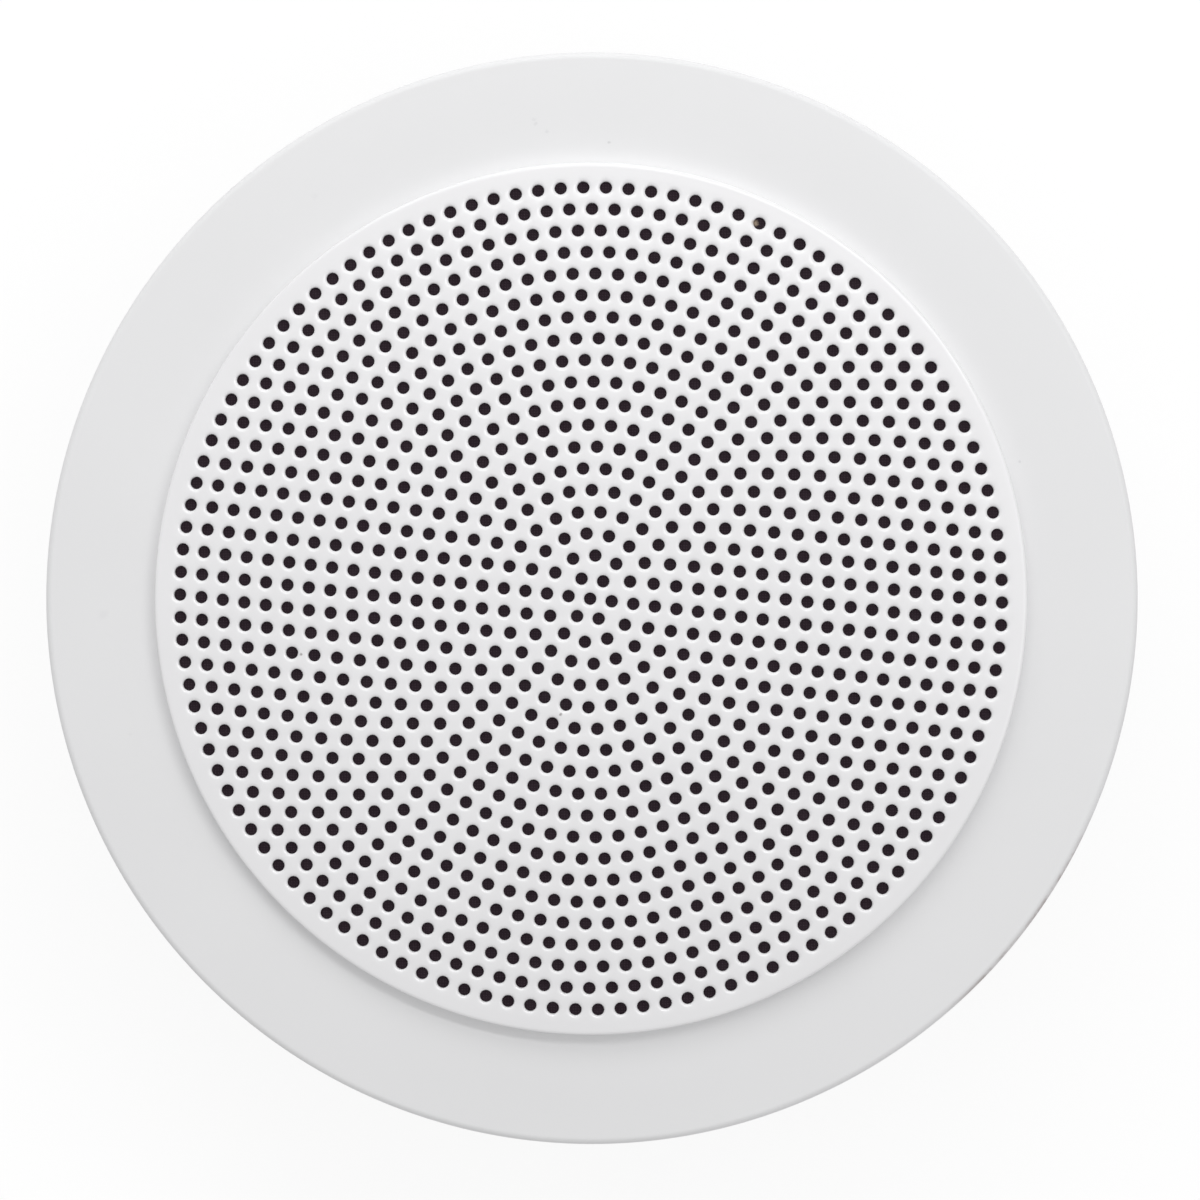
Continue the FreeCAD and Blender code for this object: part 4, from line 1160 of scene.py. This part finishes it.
# %% [markdown]
# ## Pressed basket
# The driver's frame starts as a flat ring of sheet steel. Eight windows are punched out of it, and a press
# then draws it into a funnel. The piece is made the same way: windows and rings are laid out flat, the
# sheet between them is filled like the grille's, and each flat point moves to its place on the pressed
# section. Cutting the windows with a Boolean would do as well, but it leaves long thin faces along the
# bends.

# %% Draw the basket's section and its blank
BASKET_SHEET = 0.8
BASKET_SECTION = [
    (17, 21, 0),
    (31, 21, 1.5),
    (33, 28, 1.5),
    (44, 28, 2.0),
    (64, 55, 2.0),
    (64, 58, 1.5),
    (77.5, 58, 0),
]
BASKET_BACK = eased(BASKET_SECTION)
BASKET_FRONT = beside(BASKET_BACK, BASKET_SHEET)


def flat_radii():
    """How far each point of the section was from the middle before pressing."""
    radii = [BASKET_BACK[0].x]
    for here, after in zip(BASKET_BACK, BASKET_BACK[1:]):
        radii.append(radii[-1] + (after - here).length)
    return radii


BLANK = flat_radii()
SAME_PLACE = 1e-6
WALL = max(range(len(BLANK) - 1), key=lambda number: BLANK[number + 1] - BLANK[number])


def unpressed(height, across=0.0, turn=0.0):
    """The flat place of a point on the sloping wall, this far across from a turn about the axis."""
    foot, top = BASKET_BACK[WALL], BASKET_BACK[WALL + 1]
    share = (height - foot.y) / (top.y - foot.y)
    reach = BLANK[WALL] + share * (BLANK[WALL + 1] - BLANK[WALL])
    turn += math.asin(across / (foot.x + share * (top.x - foot.x)))
    return reach * math.cos(turn), reach * math.sin(turn)


def pressed(flat, line):
    """Moves a flat point to its place on one side of the pressed section."""
    reach = math.hypot(*flat)
    number = 1
    while number < len(BLANK) - 1 and BLANK[number] < reach - SAME_PLACE:
        number += 1
    share = (reach - BLANK[number - 1]) / (BLANK[number] - BLANK[number - 1])
    place = line[number - 1].lerp(line[number], share)
    return flat[0] / reach * place.x, flat[1] / reach * place.x, place.y


print("blank of", round(BLANK[-1], 1), "mm radius")

# %% Punch and press the basket
BASKET_SEGMENTS = 120
WINDOWS = 8
WINDOW_OUTLINE = [(-8.0, 31.0, 3), (8.0, 31.0, 3), (9.75, 51.5, 3), (-9.75, 51.5, 3)]
WINDOW_STEP = 2.5
POST_TURNS = (-6, 0, 6)
POST_HEIGHTS = (32, 36, 40, 44, 48, 51)
ENAMEL_PATCH = 16
ENAMEL_PEEL = 0.9
ENAMEL_DARK = (0.014, 0.014, 0.015)
ENAMEL_LIGHT = (0.028, 0.028, 0.03)


def basket_skin():
    rings = [circle((0, 0), reach, BASKET_SEGMENTS) for reach in reversed(BLANK)]
    window = divided(eased(WINDOW_OUTLINE), WINDOW_STEP)
    windows = []
    dots = []
    for number in range(WINDOWS):
        turn = 2 * math.pi * number / WINDOWS
        windows.append([unpressed(height, across, turn) for across, height in window])
        for aside in POST_TURNS:
            post = turn + math.pi / WINDOWS + math.radians(aside)
            dots += [unpressed(height, turn=post) for height in POST_HEIGHTS]
    circles = rings + windows
    flat = [place for ring in circles for place in ring] + dots
    points = [pressed(place, line) for line in (BASKET_BACK, BASKET_FRONT) for place in flat]
    sheet = sheet_between(circles, dots)
    faces = sheet + [tuple(len(flat) + corner for corner in face) for face in sheet]
    first = 0
    for number, ring in enumerate(circles):
        if number == 0 or number >= len(rings) - 1:
            faces += band_between(first, len(flat) + first, len(ring))
        first += len(ring)
    return points, faces


def mix_enamel():
    finish = Finish("black_enamel")
    colour = finish.patches(ENAMEL_PATCH, 4.0, ENAMEL_DARK, ENAMEL_LIGHT)
    gloss = finish.gloss(size=6, smooth=0.3, rough=0.45)
    return finish.done(colour, gloss, finish.noise(ENAMEL_PEEL, detail=2.0), depth=0.015)


make_piece("pressed_basket", basket_skin(), mix_enamel(), "basket", "chassis")

# %% [markdown]
# ## Foam gasket
# A ring of black foam seals the driver to the back of the baffle. It is squeezed by four screws, so its
# edges bulge a little. A cushion like this could be simulated, but a rounded section says the same in a few
# points.

# %% Cut the gasket
GASKET_INSIDE = 66.8
GASKET_OUTSIDE = 77.2
GASKET_STEP = 70.55
GASKET_INNER_BACK = 59.2
GASKET_EASE = 0.8
FOAM_CELL = 0.7
FOAM_DARK = (0.012, 0.012, 0.013)
FOAM_LIGHT = (0.05, 0.05, 0.052)


def mix_foam():
    finish = Finish("black_foam", specular=0.2)
    sources = {"Vector": finish.place, "Scale": 1 / (FOAM_CELL * MM)}
    cells = finish.spread(finish.add("ShaderNodeTexVoronoi", sources)["Distance"], 0, 1, 0.1, 0.6)
    colour = finish.blend(cells, FOAM_DARK, FOAM_LIGHT)
    return finish.done(colour, finish.gloss(size=3, smooth=0.85, rough=0.97), cells, depth=0.2)


def cut_gasket():
    outline = [
        (GASKET_INSIDE, GASKET_INNER_BACK, GASKET_EASE),
        (GASKET_STEP, GASKET_INNER_BACK, 0),
        (GASKET_STEP, RIM_FRONT, 0),
        (GASKET_OUTSIDE, RIM_FRONT, GASKET_EASE),
        (GASKET_OUTSIDE, BAFFLE_BACK, GASKET_EASE),
        (GASKET_INSIDE, BAFFLE_BACK, GASKET_EASE),
    ]
    skin = lathe(eased(outline, EDGE_STEPS), FINE_SEGMENTS)
    gasket = make_piece("foam_gasket", skin, mix_foam(), "driver_gasket", "chassis")


cut_gasket()

# %% [markdown]
# ## Magnet system
# A ferrite ring is sandwiched between two steel plates, and a pole stands in its middle. The plates are
# turned and zinc plated, the ferrite is ground and gritty. All are round, so they are spun again with eased
# edges. The turning marks could be cut as fine grooves. They are so shallow that noise along the radius and
# the height does as well.

# %% Mix steel and ferrite
TURNING_MARK = 0.5
STEEL_CLOUD = 30
STEEL_DARK = (0.33, 0.33, 0.325)
STEEL_LIGHT = (0.52, 0.52, 0.505)


def mix_turned_steel():
    """Plated steel whose turning marks run round its faces and round its walls."""
    finish = Finish("turned_zinc_plate", metallic=1.0)
    sources = {"W": finish.combine(finish.away(), finish.height()), "Scale": 1 / (TURNING_MARK * MM)}
    marks = finish.add("ShaderNodeTexNoise", sources, noise_dimensions="1D")["Fac"]
    clouds = finish.spread(finish.noise(STEEL_CLOUD, detail=2.0), low=-0.2, high=0.2)
    uneven = finish.combine(finish.spread(marks, 0, 1), clouds)
    colour = finish.blend(uneven, STEEL_DARK, STEEL_LIGHT)
    gloss = finish.spread(marks, low=0.26, high=0.4)
    return finish.done(colour, gloss, marks, depth=0.02)


TURNED_STEEL = mix_turned_steel()
FERRITE = fibrous(
    "ground_ferrite",
    dark=(0.03, 0.03, 0.033),
    light=(0.07, 0.07, 0.075),
    grain=0.5,
    detail=4.0,
    gloss=(5, 0.5, 0.68),
    depth=0.06,
    specular=0.4,
)
print("mixed", TURNED_STEEL.name, FERRITE.name)

# %% Turn the yoke, magnet and top plate
POLE_RADIUS = 12
PLATE_RADIUS = 34
PLATE_BORE = 13.5
MAGNET_RADIUS = 36
MAGNET_BORE = 17
YOKE_FRONT = 5
MAGNET_FRONT = 17
PLATE_FRONT = 21
YOKE_BEVEL = 1
MAGNET_BEVEL = 0.8
YOKE_OUTLINE = [
    (0, 0, 0),
    (PLATE_RADIUS - YOKE_BEVEL, 0, 0.3),
    (PLATE_RADIUS, YOKE_BEVEL, 0.3),
    (PLATE_RADIUS, YOKE_FRONT, 0.2),
    (POLE_RADIUS, YOKE_FRONT, 0),
    (POLE_RADIUS, PLATE_FRONT, 0.4),
    (0, PLATE_FRONT, 0),
]
MAGNET_OUTLINE = [
    (MAGNET_BORE, YOKE_FRONT, 0.2),
    (MAGNET_RADIUS - MAGNET_BEVEL, YOKE_FRONT, 0.25),
    (MAGNET_RADIUS, YOKE_FRONT + MAGNET_BEVEL, 0.25),
    (MAGNET_RADIUS, MAGNET_FRONT - MAGNET_BEVEL, 0.25),
    (MAGNET_RADIUS - MAGNET_BEVEL, MAGNET_FRONT, 0.25),
    (MAGNET_BORE, MAGNET_FRONT, 0.2),
]
TOP_PLATE_OUTLINE = [
    (PLATE_BORE, MAGNET_FRONT, 0.2),
    (PLATE_RADIUS, MAGNET_FRONT, 0.4),
    (PLATE_RADIUS, PLATE_FRONT, 0.4),
    (PLATE_BORE, PLATE_FRONT, 0.2),
]
MAGNET_PIECES = (
    ("turned_yoke", YOKE_OUTLINE, TURNED_STEEL, "plated_steel", "yoke"),
    ("ferrite_ring", MAGNET_OUTLINE, FERRITE, "ferrite", "magnet"),
    ("turned_top_plate", TOP_PLATE_OUTLINE, TURNED_STEEL, "plated_steel", "top_plate"),
)

for name, outline, material, slot, node in MAGNET_PIECES:
    make_piece(name, lathe(eased(outline, SMALL_EDGE_STEPS), FINE_SEGMENTS), material, node, "chassis")

# %% [markdown]
# ## Spring clips
# Two arms on the back hold the loudspeaker in a ceiling. A torsion spring on each pin pushes its arm and
# the rubber pad at its tip towards the flange. One leg of the spring stays on the frame and the other
# swings with the arm. Each spring is a wire wound round its pin.

# %% Wind the springs
WIRE_RADIUS = 0.45
COIL_RADIUS = 2.5
COIL_START = 105
COIL_CLIMBS_UNTIL = 1365
COIL_END = 1530
COIL_LENGTH = 6.65
COIL_STEP = 15
ARM_LEG = 10.0
FRAME_LEG = 4.5
SPRING_WIRE = fibrous(
    "drawn_wire",
    dark=(0.4, 0.4, 0.41),
    light=(0.55, 0.55, 0.56),
    grain=0.3,
    detail=3.0,
    gloss=(1.5, 0.22, 0.38),
    depth=0.01,
    metallic=1.0,
)


def spring_line():
    """The wire's middle line about the right pin: arm leg, coil and frame leg."""
    line = []
    for angle in range(COIL_START, COIL_END + 1, COIL_STEP):
        turn = math.radians(angle)
        climb = COIL_LENGTH * min(1, (angle - COIL_START) / (COIL_CLIMBS_UNTIL - COIL_START))
        across = COIL_LENGTH / 2 - climb
        line.append(Vector((COIL_RADIUS * math.cos(turn), across, COIL_RADIUS * math.sin(turn))))
    lean = math.radians(COIL_START)
    arm_way = Vector((math.sin(lean), 0, -math.cos(lean)))
    line.insert(0, line[0] + arm_way * ARM_LEG)
    line.append(line[-1] - Vector((FRAME_LEG, 0, 0)))
    return [PIVOT + point for point in line]


def wind_springs():
    coil = tube(spring_line(), WIRE_RADIUS)
    for side, degrees in CLIP_SIDES:
        skin = turned_about(coil, degrees)
        node = f"clip_spring_{side}"
        spring = make_piece(f"torsion_spring_{side}", skin, SPRING_WIRE, node)
        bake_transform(spring)


wind_springs()

# %% Cut the pads
ARM_LEAN = math.radians(15)
PAD_SEAT = 4.6
PAD_START = 9.651
PAD_END = 15.151
PAD_TOP = 62.1
PAD_HALF = 5.0
PAD_EASE = 0.3
PAD_FOOT_EASE = 0.1
PAD_EDGE_EASE = 0.4
PAD_GROOVES = 3
GROOVE_HALF = 0.4
GROOVE_DEPTH = 0.6
GROOVE_EDGE_EASE = 0.15
GROOVE_ROOT_EASE = 0.12


def arm_point(along, across):
    """A point of the right arm, along it from the pin and across it towards the flange, as (x, z)."""
    x = PIVOT.x + along * math.cos(ARM_LEAN) - across * math.sin(ARM_LEAN)
    return x, PIVOT.z + along * math.sin(ARM_LEAN) + across * math.cos(ARM_LEAN)


def pad_outline():
    """A wedge whose front has grooves across it."""
    inner = arm_point(PAD_START, PAD_SEAT)
    outer = arm_point(PAD_END, PAD_SEAT)
    outline = [(*inner, PAD_FOOT_EASE), (*outer, PAD_FOOT_EASE), (outer[0], PAD_TOP, PAD_EDGE_EASE)]
    for groove in range(PAD_GROOVES, 0, -1):
        x = inner[0] + (outer[0] - inner[0]) * groove / (PAD_GROOVES + 1)
        outline.append((x + GROOVE_HALF, PAD_TOP, GROOVE_EDGE_EASE))
        outline.append((x, PAD_TOP - GROOVE_DEPTH, GROOVE_ROOT_EASE))
        outline.append((x - GROOVE_HALF, PAD_TOP, GROOVE_EDGE_EASE))
    outline.append((inner[0], PAD_TOP, PAD_EDGE_EASE))
    return eased(outline, SMALL_EDGE_STEPS)


def slab(outline, half, ease):
    """A plate with eased edges that reaches this far to both sides of the middle."""
    middle = sum(outline, Vector((0, 0))) / len(outline)
    inset = [point + (middle - point).normalized() * ease for point in outline]
    rings = []
    for section, y in ((inset, -half), (outline, ease - half), (outline, half - ease), (inset, half)):
        rings.append([(x, y, z) for x, z in section])
    return wrap(rings, endless=False)


def fit_both_sides(name, skin, material, node):
    """Adds a clip's piece on the right and its copy on the left."""
    for side, degrees in CLIP_SIDES:
        copy = turned_about(skin, degrees)
        make_piece(f"{name}_{side}", copy, material, f"{node}_{side}", f"clip_{side}")


PAD_RUBBER = grained("pad_rubber", (0.05, 0.05, 0.052), grain=0.4, depth=0.02, roughness=(0.6, 0.75))
fit_both_sides("rubber_pad", slab(pad_outline(), PAD_HALF, PAD_EASE), PAD_RUBBER, "clip_pad")

# %% Mould the arms
ARM_HUB = 3.0
HUB_STEPS = 20
ARM_BORE = 1.56
ARM_LENGTH = 16.151
WEB_START = 4.5
WEB_BACK = 3.0
TIP_BACK = 1.6
CHEEK_INSIDE = 5.2
CHEEK_OUTSIDE = 6.7
WEB_HALF = 5.75
WEB_EASE = 0.25


def web_outline():
    corners = ((WEB_START, WEB_BACK), (ARM_LENGTH, WEB_BACK), (ARM_LENGTH, PAD_SEAT), (WEB_START, PAD_SEAT))
    return eased([(*arm_point(*corner), WEB_EASE) for corner in corners], SMALL_EDGE_STEPS)


def arm_skin():
    """A channel of two cheeks, which turn on the pin, and a web between them."""
    tip = [Vector((ARM_LENGTH, TIP_BACK)), Vector((ARM_LENGTH, PAD_SEAT)), Vector((WEB_START, PAD_SEAT))]
    outline = arc(ARM_HUB, 90, 270, HUB_STEPS) + tip
    skins = [slab(web_outline(), WEB_HALF, WEB_EASE)]
    for inside, outside in both_faces(CHEEK_INSIDE, CHEEK_OUTSIDE):
        skins.append(bored_plate(outline, ARM_BORE, inside, outside, arm_point))
    return together(*skins)


NYLON_WHITE = (0.74, 0.74, 0.72)
NYLON = grained("white_nylon", NYLON_WHITE, grain=0.6, depth=0.012, contrast=0.03, roughness=(0.38, 0.5))
fit_both_sides("nylon_arm", arm_skin(), NYLON, "clip_arm")

# %% [markdown]
# ## Pieces that keep their solids
# The screws, the rivets, the pins, the terminals and the coil already have the right shape, so they only
# need finishes: bright zinc, drawn steel, tinned brass, wound copper and brown laminate. Each has its own
# grain.

# %% Mix the other finishes
WINDING_PITCH = 0.28
# The darker winding colour is painted shade in the grooves between turns.
WINDING_SHADE_IN_GROOVES = (0.35, 0.13, 0.06)
WINDING_LIGHT = (0.85, 0.42, 0.24)


def mix_winding():
    finish = Finish("wound_copper", metallic=1.0)
    turns = ridges(finish, WINDING_PITCH, "Z")
    return wound(finish, turns, WINDING_SHADE_IN_GROOVES, WINDING_LIGHT, roughness=(0.5, 0.28))


WINDING = mix_winding()
LAMINATE = fibrous(
    "brown_laminate",
    dark=(0.13, 0.05, 0.02),
    light=(0.24, 0.1, 0.04),
    grain=2.0,
    detail=6.0,
    gloss=(3, 0.35, 0.5),
    depth=0.02,
    stretch=(1, 0.25, 1),
)
ZINC = grained("bright_zinc", (0.62, 0.62, 0.6), grain=0.4, depth=0.008, roughness=(0.25, 0.4), metallic=1.0)
TIN = grained("tinned_brass", (0.74, 0.71, 0.64), grain=0.4, depth=0.01, roughness=(0.25, 0.42), metallic=1.0)
KRAFT = grained("brown_kraft", (0.4, 0.25, 0.12), grain=0.4, depth=0.02, contrast=0.15, roughness=(0.65, 0.8))
print("mixed", [material.name for material in (WINDING, LAMINATE, ZINC, TIN, KRAFT)])

# %% Dress the solids
DRESSED = {
    "basket_rivets": ZINC,
    "clip_pin_right": ZINC,
    "clip_pin_left": ZINC,
    "driver_screws": SPRING_WIRE,
    "voice_coil": WINDING,
    "coil_former": KRAFT,
    "dust_cap": PAPER,
    "terminal_board": LAMINATE,
    "terminal_tags": TIN,
    "terminal_rivets": TIN,
}

for name, material in DRESSED.items():
    NODES[name].material_slots[0].material = material
    print(name, "wears", material.name)
